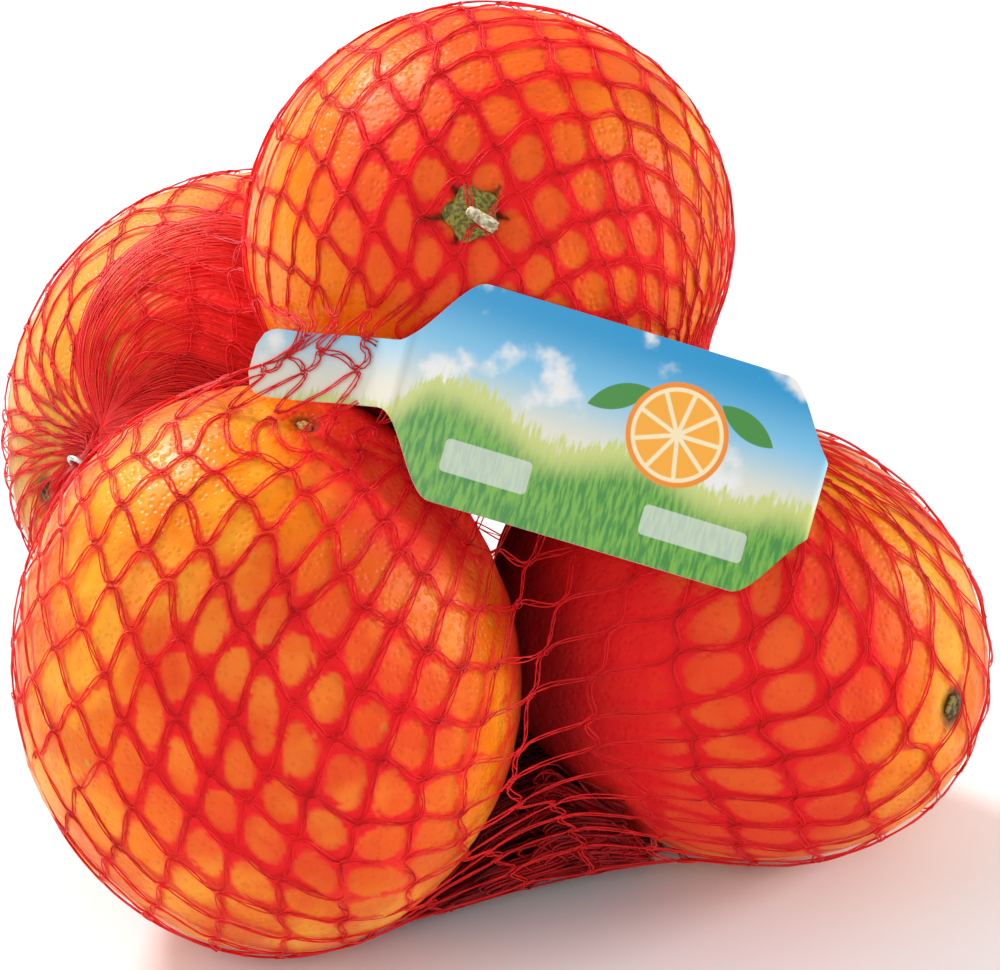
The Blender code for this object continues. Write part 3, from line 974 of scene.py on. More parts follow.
@dataclass
class Label:
    """The card: a plate with a tongue at each end, the left one under the strands."""

    card: float = 0.45
    centre: tuple = (18.9, -38.9, 86.1)
    along: tuple = (0.9445, -0.0132, -0.3283)
    normal: tuple = (0.189, -0.795, 0.576)
    plate_length: float = 66.4
    plate_height: float = 34.8
    plate_bow: float = 0.9
    shoulder_from: float = 24.6
    shoulder_to: float = 36.2
    tongue_height: float = 10.8
    left_tongue: float = 24.5
    left_crease: float = math.radians(36.0)
    left_crease_run: float = 6.5
    left_lean: float = math.radians(20.0)
    left_droop: float = 3.0
    right_tongue: float = 14.0
    fold_radius: float = 1.3
    fold_turn: float = math.radians(138.0)
    fold_steps: int = 12
    step: float = 0.8
    cross_steps: int = 28
    crisp_edge: float = math.radians(50.0)
    highest_lift: float = 24.0
    finish: CardFinish = CardFinish()

    def axes(self) -> tuple:
        """Unit vectors along the plate, up it, and out of it."""
        along = unit(self.along)
        normal = unit(np.asarray(self.normal) - along * (along @ np.asarray(self.normal)))
        return along, np.cross(normal, along), normal

    def half_height(self, along: float) -> float:
        """Half the card's height at a place along it."""
        tongue, plate = self.tongue_height / 2.0, self.plate_height / 2.0
        narrow = float(ease(abs(along), self.shoulder_from, self.shoulder_to))
        height = plate - (plate - tongue) * narrow
        end = self.plate_length / 2.0 + (self.left_tongue if along < 0.0 else self.right_tongue)
        to_end = end - abs(along)
        rounding = tongue * 0.6
        if to_end < rounding:
            height -= rounding - math.sqrt(max(rounding ** 2 - (rounding - to_end) ** 2, 0.0))
        return max(height, 0.4)

    def bent(self, station: tuple, length: float, side: float, heading) -> list:
        """Stations of a bent stretch of card past a station."""
        flat, place, depth = station
        stations = []
        count = math.ceil(length / self.step)
        for k in range(count):
            way = heading((k + 0.5) * length / count)
            flat += side * length / count
            place += side * length / count * math.cos(way)
            depth -= length / count * math.sin(way)
            stations.append((flat, place, depth))
        return stations

    def crease(self, run: float) -> float:
        """The left tongue's heading: a soft bend down at the plate, then a flatter run."""
        drop = self.left_crease * float(ease(run, -0.6, 1.2))
        rise = (self.left_lean - self.left_crease) * float(
            ease(run, self.left_crease_run - 0.9, self.left_crease_run + 0.9)
        )
        return drop + rise

    def path(self) -> list:
        """Stations along the card: distance along it, then its place along and behind the plate."""
        half = self.plate_length / 2.0
        edge = math.atan(2.0 * self.plate_bow / half)
        steps = math.ceil(self.plate_length / self.step)
        plate = []
        for k in range(steps + 1):
            along = self.plate_length * (k / steps - 0.5)
            plate.append((along, along, -self.plate_bow * (along / half) ** 2))
        left = self.bent(plate[0], self.left_tongue, -1.0, self.crease)
        station = plate[-1]
        fold = []
        arc = self.fold_radius * self.fold_turn / self.fold_steps
        for k in range(self.fold_steps):
            way = edge + self.fold_turn * (k + 0.5) / self.fold_steps
            flat, place, depth = station
            station = (flat + arc, place + arc * math.cos(way), depth - arc * math.sin(way))
            fold.append(station)
        rest = self.right_tongue - self.fold_radius * self.fold_turn
        right = self.bent(station, rest, 1.0, lambda run: edge + self.fold_turn)
        return left[::-1] + plate + fold + right

    def droop(self, flat: np.ndarray) -> np.ndarray:
        """How far the left tongue hangs down at places along the card."""
        past = (-flat - self.plate_length / 2.0) / self.left_tongue
        return self.left_droop * ease(past, 0.0, 1.0)

    def over_tongue(self, points: np.ndarray) -> np.ndarray:
        """Lift the strands that cross the tongue so that they lie on it.

        Args:
            points: Rows of points on the net, in millimetres.

        Returns:
            The points, raised where they cross the tongue.
        """
        along, up, normal = self.axes()
        off = points - np.asarray(self.centre)
        s, t, w = off @ along, off @ up, off @ normal
        path = np.array(self.path())
        left = path[path[:, 0] < 0.0]
        depth = np.interp(s, left[:, 1], left[:, 2])
        flat = np.interp(s, left[:, 1], left[:, 0])
        beside = np.abs(t + self.droop(flat))
        start = self.plate_length / 2.0 + 4.5
        end = self.plate_length / 2.0 + self.left_tongue
        cover = ease(-flat, start, start + 2.0) * (1.0 - ease(-s, end + 0.5, end + 5.0))
        cover = cover * (1.0 - ease(beside, self.tongue_height / 2.0 + 0.4, self.tongue_height))
        need = np.maximum(depth + self.card / 2.0 + 0.35 - w, 0.0)
        need = np.where(need < self.highest_lift, need, 0.0)
        return points + normal * (need * cover)[..., None]

    def build(self) -> bpy.types.Object:
        """Model the card as a bent sheet with thickness, and print its front."""
        along, up, normal = self.axes()
        stations = self.path()
        rows = []
        flats = []
        for flat, place, depth in stations:
            half = self.half_height(flat)
            middle = np.asarray(self.centre) + along * place + normal * depth
            middle = middle - up * self.droop(flat)
            upward = half * (2.0 * np.arange(self.cross_steps + 1) / self.cross_steps - 1.0)
            rows.append(middle + np.outer(upward, up))
            flats.append(np.column_stack([np.full(len(upward), flat), upward]))
        rows, flats = np.array(rows), np.array(flats)
        tangent = np.gradient(rows, axis=0)
        facing = unit(np.cross(tangent, up))
        facing *= np.sign((facing[len(facing) // 2, 0] @ normal))
        front = rows + facing * self.card / 2.0
        back = rows - facing * self.card / 2.0
        count, wide = rows.shape[:2]
        number = np.arange(count * wide).reshape(count, wide)
        quads = np.stack(
            [number[:-1, :-1], number[1:, :-1], number[1:, 1:], number[:-1, 1:]], -1
        ).reshape(-1, 4)
        behind = quads[:, ::-1] + count * wide
        rim = np.concatenate([number[:, 0], number[-1, 1:], number[-2::-1, -1], number[0, -2:0:-1]])
        nxt = np.roll(rim, -1)
        edge = np.stack([rim, rim + count * wide, nxt + count * wide, nxt], -1)
        points = np.concatenate([front.reshape(-1, 3), back.reshape(-1, 3)])
        faces = np.concatenate([quads, behind, edge])
        surfaces = [self.finish.printed(), self.finish.bare()]
        piece = mesh_piece("card_label", points, [faces], surfaces)
        slots = np.ones(len(faces), np.int32)
        slots[:len(quads)] = 0
        piece.data.polygons.foreach_set("material_index", slots)
        layer = piece.data.uv_layers.new(name="flat")
        places = np.concatenate([flats.reshape(-1, 2)] * 2) / MAP_SIZE
        order = np.zeros(len(piece.data.loops), np.int32)
        piece.data.loops.foreach_get("vertex_index", order)
        layer.data.foreach_set("uv", places[order].astype(np.float32).ravel())
        turn_outward(piece)
        piece.data.set_sharp_from_angle(angle=self.crisp_edge)
        return piece


@dataclass
class Netting:
    """The knitted strands: zigzag wales of filaments that meet at the knots."""

    form: NetForm
    label: Label
    finish: NetFinish = NetFinish()
    # A lighter copy of the net's material, which paints light on the fan threads
    painted_light_finish: NetFinish = NetFinish("red_polyethylene_in_the_fan", "#FF3028", "#F21A1C")
    # A darker copy of the net's material, which paints shade on the slack runs
    painted_shade_finish: NetFinish = NetFinish("red_polyethylene_in_folds", "#B00C14", "#5C060A")
    steps: int = 9
    fan_lines: int = 330
    fan_steps: int = 40
    fan_start: float = 0.3
    fan_rows: float = 11.5
    fan_reach: float = 25.0
    fan_crease: float = 6.0
    fan_past_neck: int = 8
    filament: float = 0.125
    chain: float = 0.10
    spread: float = 0.36
    loop_radius: float = 0.45
    knot_share: float = 0.06
    plateau: float = 0.14
    wander: float = 0.12
    tail_length: float = 4.6
    slack_yarn: float = 0.21
    slack_runs: int = 900
    slack_share: tuple = (0.35, 1.0)
    low_share: tuple = (0.02, 0.30)
    gap_from: tuple = (2.4, -20.7, 55.3)
    gap_to: tuple = (2.4, 64.8, 0.0)
    gap_radius: float = 8.0
    slack_rows: int = 6
    slack_steps: int = 5
    slack_from_ends: float = 3.0
    slack_room: tuple = (5.0, 7.0)
    slack_deepest: float = 15.0
    low_wales: tuple = (52, 64)
    low_height: float = 11.0
    low_back: float = -15.0
    loop_sides: int = 10
    loop_chance: float = 0.62
    seed: int = 11
    shift_column: np.ndarray = field(init=False)
    shift_row: np.ndarray = field(init=False)
    surface: bpy.types.Material = field(init=False)

    def __post_init__(self) -> None:
        """Draw the knots' random shifts."""
        rng = np.random.default_rng(self.seed)
        count = (self.form.rows + 1, 2 * self.form.knots_round)
        self.shift_column = self.between_knots(rng.normal(0.0, self.wander, count))
        self.shift_row = self.between_knots(rng.normal(0.0, self.wander * 0.8, count))

    def between_knots(self, shifts: np.ndarray) -> np.ndarray:
        """The knots' shifts, with the windows between them given the mean of their neighbours."""
        padded = np.pad(shifts, ((1, 1), (0, 0)), mode="edge")
        around = np.roll(shifts, 1, 1) + np.roll(shifts, -1, 1) + padded[:-2] + padded[2:]
        rows, columns = np.indices(shifts.shape)
        return np.where((rows + columns) % 2 == 0, shifts, around / 4.0)

    def strand_shadow(self, places: tuple, widening: np.ndarray) -> np.ndarray:
        """How much painted red shadow the strands cast on points of the peel.

        Args:
            places: Where the points lie in the net's lattice.
            widening: How far the painted shadow bands widen at each, from 0 to 1.

        Returns:
            1 under a strand, 0 in the middle of a window.
        """
        row, column, high, wide, _ = places
        i = np.clip(np.rint(row).astype(int), 0, self.form.rows)
        j = np.rint(column).astype(int) % self.shift_row.shape[1]
        row, column = row - self.shift_row[i, j], column - self.shift_column[i, j]
        i, j = np.rint(row), np.rint(column)
        down, aside = row - i, column - j
        on_knot = np.mod(i + j, 2.0) == 0.0
        along = np.abs(down) > np.abs(aside)
        down = np.where(on_knot & along, down - np.sign(down), down)
        aside = np.where(on_knot & ~along, aside - np.sign(aside), aside)
        power = 1.4 + 0.5 * widening
        sideways, lengthways = np.abs(aside) / 1.05, np.abs(down) / 0.92
        ball = 2.0 ** (1.0 / power - 1.0)
        radius = (sideways ** power + lengthways ** power) ** (1.0 / power)
        edge = 1.0 / np.sqrt(1.0 / high ** 2 + 1.0 / wide ** 2)
        half = 0.30 + 0.6 * widening
        return 1.0 - ease((ball - radius) / ball * edge / half, 0.62, 1.45)

    def lattice(self, wale: int, rows: np.ndarray) -> tuple:
        """Where a wale runs: its row and column at each step, with the knots' shifts."""
        pillar, side = wale // 2, 1.0 if wale % 2 == 0 else -1.0
        swing = 1.0 - np.abs(np.mod(rows, 2.0) - 1.0)
        straight = np.clip((swing - self.plateau) / (1.0 - 2.0 * self.plateau), 0.0, 1.0)
        swing = 0.5 * straight + 0.5 * ease(straight, 0.0, 1.0)
        swing = self.knot_share + (1.0 - 2.0 * self.knot_share) * swing
        low = np.floor(rows).astype(int)
        high = np.minimum(low + 1, self.form.rows)
        share = ease(rows - low, 0.0, 1.0)
        columns = 2 * self.form.knots_round

        def knot_column(row: np.ndarray) -> np.ndarray:
            return (2 * pillar + np.where(row % 2 == 0, 0, int(side))) % columns

        near, far = knot_column(low), knot_column(high)
        column = 2.0 * pillar + side * swing
        row, column = [
            place + shift[low, near] * (1.0 - share) + shift[high, far] * share
            for place, shift in ((rows, self.shift_row), (column, self.shift_column))
        ]
        return np.clip(row, 0.0, self.form.rows), column

    def end_run(self, gather: Gather, rng: np.random.Generator, reach: float) -> np.ndarray:
        """A filament's points through the clip and out into the tail, from the mouth outwards."""
        neck, wide, thick = gather.frame()
        tail = unit(gather.tail)
        turn, share = rng.uniform(0.0, TAU), math.sqrt(rng.uniform(0.05, 1.0))
        aside = wide * math.cos(turn) * share + thick * math.sin(turn) * share * 0.6
        mouth = np.asarray(gather.mouth)
        flare = unit(np.array(rng.normal(0.0, 1.0, 3)))
        points = []
        for along in (1.2, 2.6, 4.3, 6.0):
            points.append(mouth + neck * along + aside * (1.05 if along > 2.0 else 1.4))
        end = points[-1]
        for along in (0.25, 0.5, 0.75, 1.0):
            way = unit(neck * (1.0 - along) + tail * along)
            splay = aside * (1.0 + 1.3 * along) + flare * 0.7 * along ** 2
            points.append(end - aside * 1.05 + way * reach * along + splay)
        return np.array(points)

    def wale_points(self, wale: int) -> tuple:
        """The middle line of one wale on the net, its outward vectors, and each point's row."""
        rows = np.linspace(0.35, self.form.rows - 0.35, (self.form.rows - 1) * self.steps + 1)
        row, column = self.lattice(wale, rows)
        points = self.form.point(row, column)
        normals = self.form.outward(points)
        return points, normals, rows

    def strand(self, wale: int, thread: int) -> tuple:
        """One filament of a wale from tail to tail, with its outward vectors.

        Args:
            wale: The wale's number.
            thread: 0 and 1 for the pair that frames each leg, 2 for the chain between them.

        Returns:
            The filament's points and outward vectors.
        """
        points, normals, rows = self.wale_points(wale)
        tangent = unit(np.gradient(points, axis=0))
        side = unit(np.cross(normals, tangent))
        rng = np.random.default_rng(self.seed * 1000 + wale * 7 + thread)
        knots = np.arange(self.form.rows + 1)
        width = np.interp(rows, knots, rng.uniform(0.5, 1.7, len(knots)))
        lift = np.interp(rows, knots, rng.uniform(-0.5, 1.0, len(knots)))
        open_leg = np.abs(np.sin(math.pi * rows)) ** 0.7
        if thread < 2:
            hand = 1.0 if thread == 0 else -1.0
            hands = hand * np.where(np.floor(rows).astype(int) % 2 == 0, 1.0, -1.0)
            off = hands * self.spread * width * open_leg
            rise = 0.10 * lift * open_leg + (0.12 if thread == 0 else -0.02)
        else:
            phase = rng.uniform(0.0, TAU)
            off = 0.9 * self.spread * width * np.sin(TAU * 1.5 * rows + phase)
            rise = 0.10 + 0.12 * np.cos(TAU * 1.5 * rows + phase)
        points = points + side * off[:, None] + normals * rise[:, None]
        points[:, 2] = np.maximum(points[:, 2], 0.25)
        points = self.label.over_tongue(points)
        left, right = [
            self.end_run(gather, rng, self.tail_length * rng.uniform(0.6, 1.15))
            for gather in (LEFT_GATHER, RIGHT_GATHER)
        ]
        whole = np.concatenate([left[::-1], points, right])
        outs = np.concatenate([
            np.repeat(normals[:1], len(left), 0), normals, np.repeat(normals[-1:], len(right), 0),
        ])
        return whole, outs

    def tubes(self, name: str, lines: np.ndarray, outs: np.ndarray, radius: float, sides: int,
              closed: bool = False) -> bpy.types.Object:
        """Thin tubes along lines of points.

        Args:
            name: The piece's name.
            lines: Lines of points, all with as many points.
            outs: Outward vectors at the points.
            radius: The tube's radius.
            sides: How many sides the tube has.
            closed: Whether each line is a ring.

        Returns:
            The piece.
        """
        if closed:
            tangent = unit(np.roll(lines, -1, 1) - np.roll(lines, 1, 1))
        else:
            tangent = unit(np.gradient(lines, axis=1))
        side = unit(np.cross(outs, tangent))
        top = np.cross(tangent, side)
        turn = TAU * np.arange(sides) / sides
        ring = np.cos(turn)[:, None] * top[:, :, None] + np.sin(turn)[:, None] * side[:, :, None]
        points = lines[:, :, None] + ring * radius
        count, length = lines.shape[:2]
        number = np.arange(count * length * sides).reshape(count, length, sides)
        ahead = np.roll(number, -1, 1) if closed else number[:, 1:]
        here = number if closed else number[:, :-1]
        faces = [ring_quads(here, ahead)]
        if not closed:
            faces.append(number[:, 0, ::-1].reshape(-1, sides))
            faces.append(number[:, -1].reshape(-1, sides))
        return mesh_piece(name, points.reshape(-1, 3), faces, [self.surface])

    def loops(self) -> bpy.types.Object:
        """The small open loops that the knitting leaves at most knots."""
        rng = np.random.default_rng(self.seed + 5)
        lines, outs = [], []
        turn = TAU * np.arange(self.loop_sides) / self.loop_sides
        for row in range(2, self.form.rows - 1):
            for column in range(row % 2, 2 * self.form.knots_round, 2):
                if rng.uniform() > self.loop_chance:
                    continue
                r = row + self.shift_row[row, column] + rng.normal(0.0, 0.05)
                c = column + self.shift_column[row, column] + rng.normal(0.0, 0.06)
                point = self.form.point(np.array([r]), np.array([c]))[0]
                ahead = self.form.point(np.array([r + 0.2]), np.array([c]))[0]
                out = self.form.outward(point[None])[0]
                first = unit(ahead - point)
                second = unit(np.cross(out, first))
                first = np.cross(second, out)
                size = self.loop_radius * rng.uniform(0.7, 1.35)
                long = rng.uniform(1.0, 1.4)
                tilt = rng.normal(0.0, 0.25)
                ring = (
                    point + out * 0.2
                    + np.outer(np.cos(turn) * size * long, first)
                    + np.outer(np.sin(turn) * size, second)
                    + np.outer(np.cos(turn) * size * tilt, out)
                )
                lines.append(ring)
                outs.append(np.repeat(out[None], len(turn), 0))
        lines = self.label.over_tongue(np.array(lines))
        lines[..., 2] = np.maximum(lines[..., 2], 0.2)
        return self.tubes("net_knot_loops", lines, np.array(outs), self.chain, 3, closed=True)

    def fan(self) -> bpy.types.Object:
        """Closed meshes that run as straight threads from the left gather over the left fruit."""
        rng = np.random.default_rng(self.seed + 9)
        glow = LEFT.glows[0]
        middle = np.asarray(LEFT.centre) + unit(glow.way) * LEFT.radius
        share = np.linspace(0.0, 1.0, self.fan_steps)
        clear = self.fan_past_neck
        lines, outs = [], []
        while len(lines) < self.fan_lines:
            column = rng.uniform(0.0, 2.0 * self.form.knots_round)
            rows = self.fan_start + (self.fan_rows - self.fan_start) * share
            points = self.form.point(rows, np.full(self.fan_steps, column))
            room = self.form.room_within(points)[clear:]
            apart = np.linalg.norm(points - middle, axis=1).min()
            if apart > self.fan_reach or room.max() < self.fan_crease:
                continue
            # Each thread ends in the crease that it crosses, sunk out of sight
            end = rows[clear + np.argmax(room)] + 0.7
            rows = self.fan_start + (end - self.fan_start) * share
            size = rng.normal(0.0, 0.35)
            bend = size * np.sin(rows * rng.uniform(0.2, 0.6) + rng.uniform(0.0, TAU))
            points = self.form.point(rows, column + bend * share)
            out = self.form.outward(points)
            sunk = np.clip(self.form.room_within(points) - 1.0, 0.0, 9.0) * ease(share, 0.72, 1.0)
            points = points + out * rng.uniform(0.0, 0.3)
            lines.append(points - unit(points - np.asarray(self.form.core)) * sunk[:, None])
            outs.append(out)
        return self.tubes("net_fan_threads", np.array(lines), np.array(outs), self.chain, 3)

    def slack(self, name: str, seed: int, low: bool = False) -> bpy.types.Object:
        """Runs of netting folded into the creases, where the tube is wider than the pack, in a
        darker copy of the net's material that paints shade.

        Args:
            name: The piece's name.
            seed: Seed of its random places.
            low: Whether they lie by the floor in front, between the front and right oranges, where
                their dark red also stands in for shade.

        Returns:
            The piece.
        """
        rng = np.random.default_rng(seed)
        core = np.asarray(self.form.core)
        steps = self.slack_rows * self.slack_steps + 1
        last = self.form.rows - self.slack_rows - self.slack_from_ends
        wales = self.low_wales if low else (0, 2 * self.form.knots_round)
        least, middling = self.slack_room
        gap_start = np.asarray(self.gap_from)
        gap_way = unit(np.asarray(self.gap_to) - gap_start)
        lines, outs = [], []
        while len(lines) < self.slack_runs:
            start = rng.uniform(self.slack_from_ends, last)
            rows = start + np.linspace(0.0, self.slack_rows, steps)
            row, column = self.lattice(int(rng.integers(*wales)), rows)
            column = column + rng.uniform(0.0, 2.0)
            points = self.form.point(row, column)
            room = self.form.room_within(points)
            if np.median(room) < middling or room.min() < least:
                continue
            back, high = points[:, 1].mean(), points[:, 2].mean()
            if low and (high > self.low_height or back > self.low_back):
                continue
            # The gap through which the photograph shows the floor stays clear
            off = np.linalg.norm(np.cross(points - gap_start, gap_way), axis=1)
            if off.min() < self.gap_radius:
                continue
            ends = rng.uniform(*(self.low_share if low else self.slack_share), 3)
            share = np.interp(rows, [rows[0], rows[steps // 2], rows[-1]], ends)
            depth = np.minimum(room - 1.0, self.slack_deepest) * share
            points = points - unit(points - core) * depth[:, None]
            points[:, 2] = np.maximum(points[:, 2], 0.3)
            lines.append(points)
            outs.append(self.form.outward(points))
        return self.tubes(name, np.array(lines), np.array(outs), self.slack_yarn, 3)

    def build(self) -> list:
        """Model the filaments and the loops at the knots."""
        self.surface = self.finish.material()
        pieces = []
        threads = (
            ("net_filaments_a", self.filament, 4),
            ("net_filaments_b", self.filament, 4),
            ("net_chain_yarn", self.chain, 3),
        )
        for thread, (name, radius, sides) in enumerate(threads):
            made = [self.strand(w, thread) for w in range(2 * self.form.knots_round)]
            lines, outs = (np.array(part) for part in zip(*made))
            pieces.append(self.tubes(name, lines, outs, radius, sides))
        pieces.append(self.loops())
        # The fan threads wear the lighter copy: painted light
        self.surface = self.painted_light_finish.material()
        pieces.append(self.fan())
        # The slack runs wear the darker copy: painted shade
        self.surface = self.painted_shade_finish.material()
        pieces.append(self.slack("net_slack_folds_a", self.seed + 21))
        pieces.append(self.slack("net_slack_folds_b", self.seed + 22))
        # The low runs also fill the shaded crease by the floor with dark netting, standing in for
        # shade
        pieces.append(self.slack("net_slack_folds_low", self.seed + 23, low=True))
        return pieces


@dataclass
class Fruit:
    """One orange's peel, with its dents, its blemishes and the red that the net casts on it."""

    orange: Orange
    netting: Netting
    cuts: int = 118
    lumps: tuple = ((3.0, 0.30, 7), (7.0, 0.11, 10), (16.0, 0.045, 14))
    bottom: float = 0.5
    seed: int = 3

    def surface_point(self, ways: np.ndarray, lift: float = 0.0) -> np.ndarray:
        """Points of the spheroid in these directions from its middle."""
        axis = unit(self.orange.axis)
        lean = ways - (1.0 - 1.0 / self.orange.stretch) * (ways @ axis)[..., None] * axis
        far = (self.orange.radius + lift) / np.linalg.norm(lean, axis=-1)
        return np.asarray(self.orange.centre) + ways * far[..., None]

    def from_mark(self, ways: np.ndarray, mark: Mark) -> np.ndarray:
        """How far directions lie from a blemish's middle, or from its line, in millimetres."""
        start, end = np.asarray(mark.way), np.asarray(mark.far_end or mark.way)
        line = unit(start + np.linspace(0.0, 1.0, 9)[:, None] * (end - start))
        wide = np.linspace(0.3, 1.0, 9) if mark.far_end else 1.0
        return (self.orange.radius * np.arccos(np.clip(ways @ line.T, -1.0, 1.0)) / wide).min(-1)

    def relief(self, ways: np.ndarray) -> np.ndarray:
        """How far the rind stands above or below the spheroid: soft lumps, dents, stem furrows."""
        rng = np.random.default_rng(self.seed)
        high = np.zeros(len(ways))
        for scale, size, count in self.lumps:
            for _ in range(count):
                wave = unit(rng.normal(0.0, 1.0, 3)) * scale * rng.uniform(0.7, 1.3)
                high += size * np.sin(ways @ wave * 2.0 + rng.uniform(0.0, TAU)) / math.sqrt(count)
        for mark in self.orange.marks:
            off = self.from_mark(ways, mark)
            if mark.kind is Blemish.FURROW:
                high -= 0.9 * np.exp(-((off / mark.radius) ** 2))
                continue
            first, second = across(unit(mark.way), (0.3, 0.2, 0.9))
            turn = np.arctan2(ways @ second, ways @ first)
            if mark.kind is Blemish.STEM:
                high -= 1.5 * np.exp(-((off / 6.5) ** 2))
                furrow = np.maximum(np.cos(turn * 7.0 + 0.8 * np.sin(turn * 2.0)), 0.0) ** 3
                high -= 0.7 * furrow * np.exp(-(((off - 6.5) / 4.0) ** 2))
            else:
                high -= 0.9 * np.exp(-((off / (mark.radius * 1.3)) ** 2))
                high += 0.25 * np.exp(-(((off - mark.radius * 1.7) / 1.2) ** 2))
        return high

    def grain(self, points: np.ndarray) -> np.ndarray:
        """The fine unevenness of the rind, which breaks up its highlights."""
        coarse = [noise.noise(Vector(p) / 3.4) for p in points]
        fine = [noise.noise(Vector(p) / 1.5) for p in points]
        return 0.16 * np.array(coarse) + 0.09 * np.array(fine)

    def build(self) -> bpy.types.Object:
        """Model the peel and store the painted red light and shade that the net casts on it."""
        bpy.ops.object.select_all(action="DESELECT")
        bpy.ops.mesh.primitive_cube_add(size=2.0)
        piece = bpy.context.active_object
        piece.name = self.orange.name
        piece.data.name = self.orange.name
        bpy.ops.object.mode_set(mode="EDIT")
        bpy.ops.mesh.select_all(action="SELECT")
        bpy.ops.mesh.subdivide(number_cuts=self.cuts)
        bpy.ops.object.mode_set(mode="OBJECT")
        count = len(piece.data.vertices)
        flat = np.zeros(count * 3, np.float32)
        piece.data.vertices.foreach_get("co", flat)
        ways = unit(np.tan(flat.reshape(-1, 3).astype(float) * math.pi / 4.0))
        points = self.surface_point(ways)
        axis_out = unit(points - np.asarray(self.orange.centre))
        points = points + axis_out * (self.relief(ways) + self.grain(points))[:, None]
        points[:, 2] = np.maximum(points[:, 2], self.bottom)
        piece.data.vertices.foreach_set("co", (points * MM).astype(np.float32).ravel())
        piece.data.update()
        piece.data.shade_smooth()
        piece.data.materials.append(PeelFinish().material(self.orange))
        self.cast_net(piece, ways, points)
        return piece

    def cast_net(self, piece: bpy.types.Object, ways: np.ndarray, points: np.ndarray) -> None:
        """Store the strands' painted red shadow bands, the red veil of dense netting and painted
        red light, the painted shade in the creases, and the blemishes with painted shade at the
        stem end.

        Args:
            piece: The fruit's piece.
            ways: Each vertex's direction from the fruit's middle.
            points: Each vertex, in millimetres.
        """
        widen = np.zeros(len(points))
        veil = np.zeros(len(points))
        for glow in self.orange.glows:
            off = self.orange.radius * np.arccos(np.clip(ways @ unit(glow.way), -1.0, 1.0))
            share = 1.0 - ease(off, glow.reach * 0.55, glow.reach * 1.30)
            widen = np.maximum(widen, share * glow.widening)
            veil = np.maximum(veil, share * glow.veil)
        places = self.netting.form.places(points)
        # Painted red shadow of the strands, wider where the netting lies close
        strand_shadow = self.netting.strand_shadow(places, widen)
        gap = places[-1]
        # Painted shade: darker red the further the net stands off the peel
        cavity = ease(gap, 3.0, 13.0)
        number_attribute(piece, "net_band", np.clip(strand_shadow * (0.6 + 0.4 * widen), 0.0, 1.0))
        # The veil: the dense netting's own red with painted red light, and painted red light and
        # shade where the net stands off the peel
        number_attribute(piece, "net_veil", np.clip(veil + 0.6 * ease(gap, 1.8, 5.0), 0.0, 0.96))
        number_attribute(piece, "cavity", cavity * self.orange.shade)
        # Darkening round the blemishes: their own colour, and painted shade at the stem end and in
        # its furrows
        mark = np.zeros(len(points))
        for blemish in self.orange.marks:
            off = self.from_mark(ways, blemish)
            mark = np.maximum(mark, 1.0 - ease(off, blemish.radius * 0.5, blemish.radius * 1.25))
        number_attribute(piece, "mark", mark * 0.9)


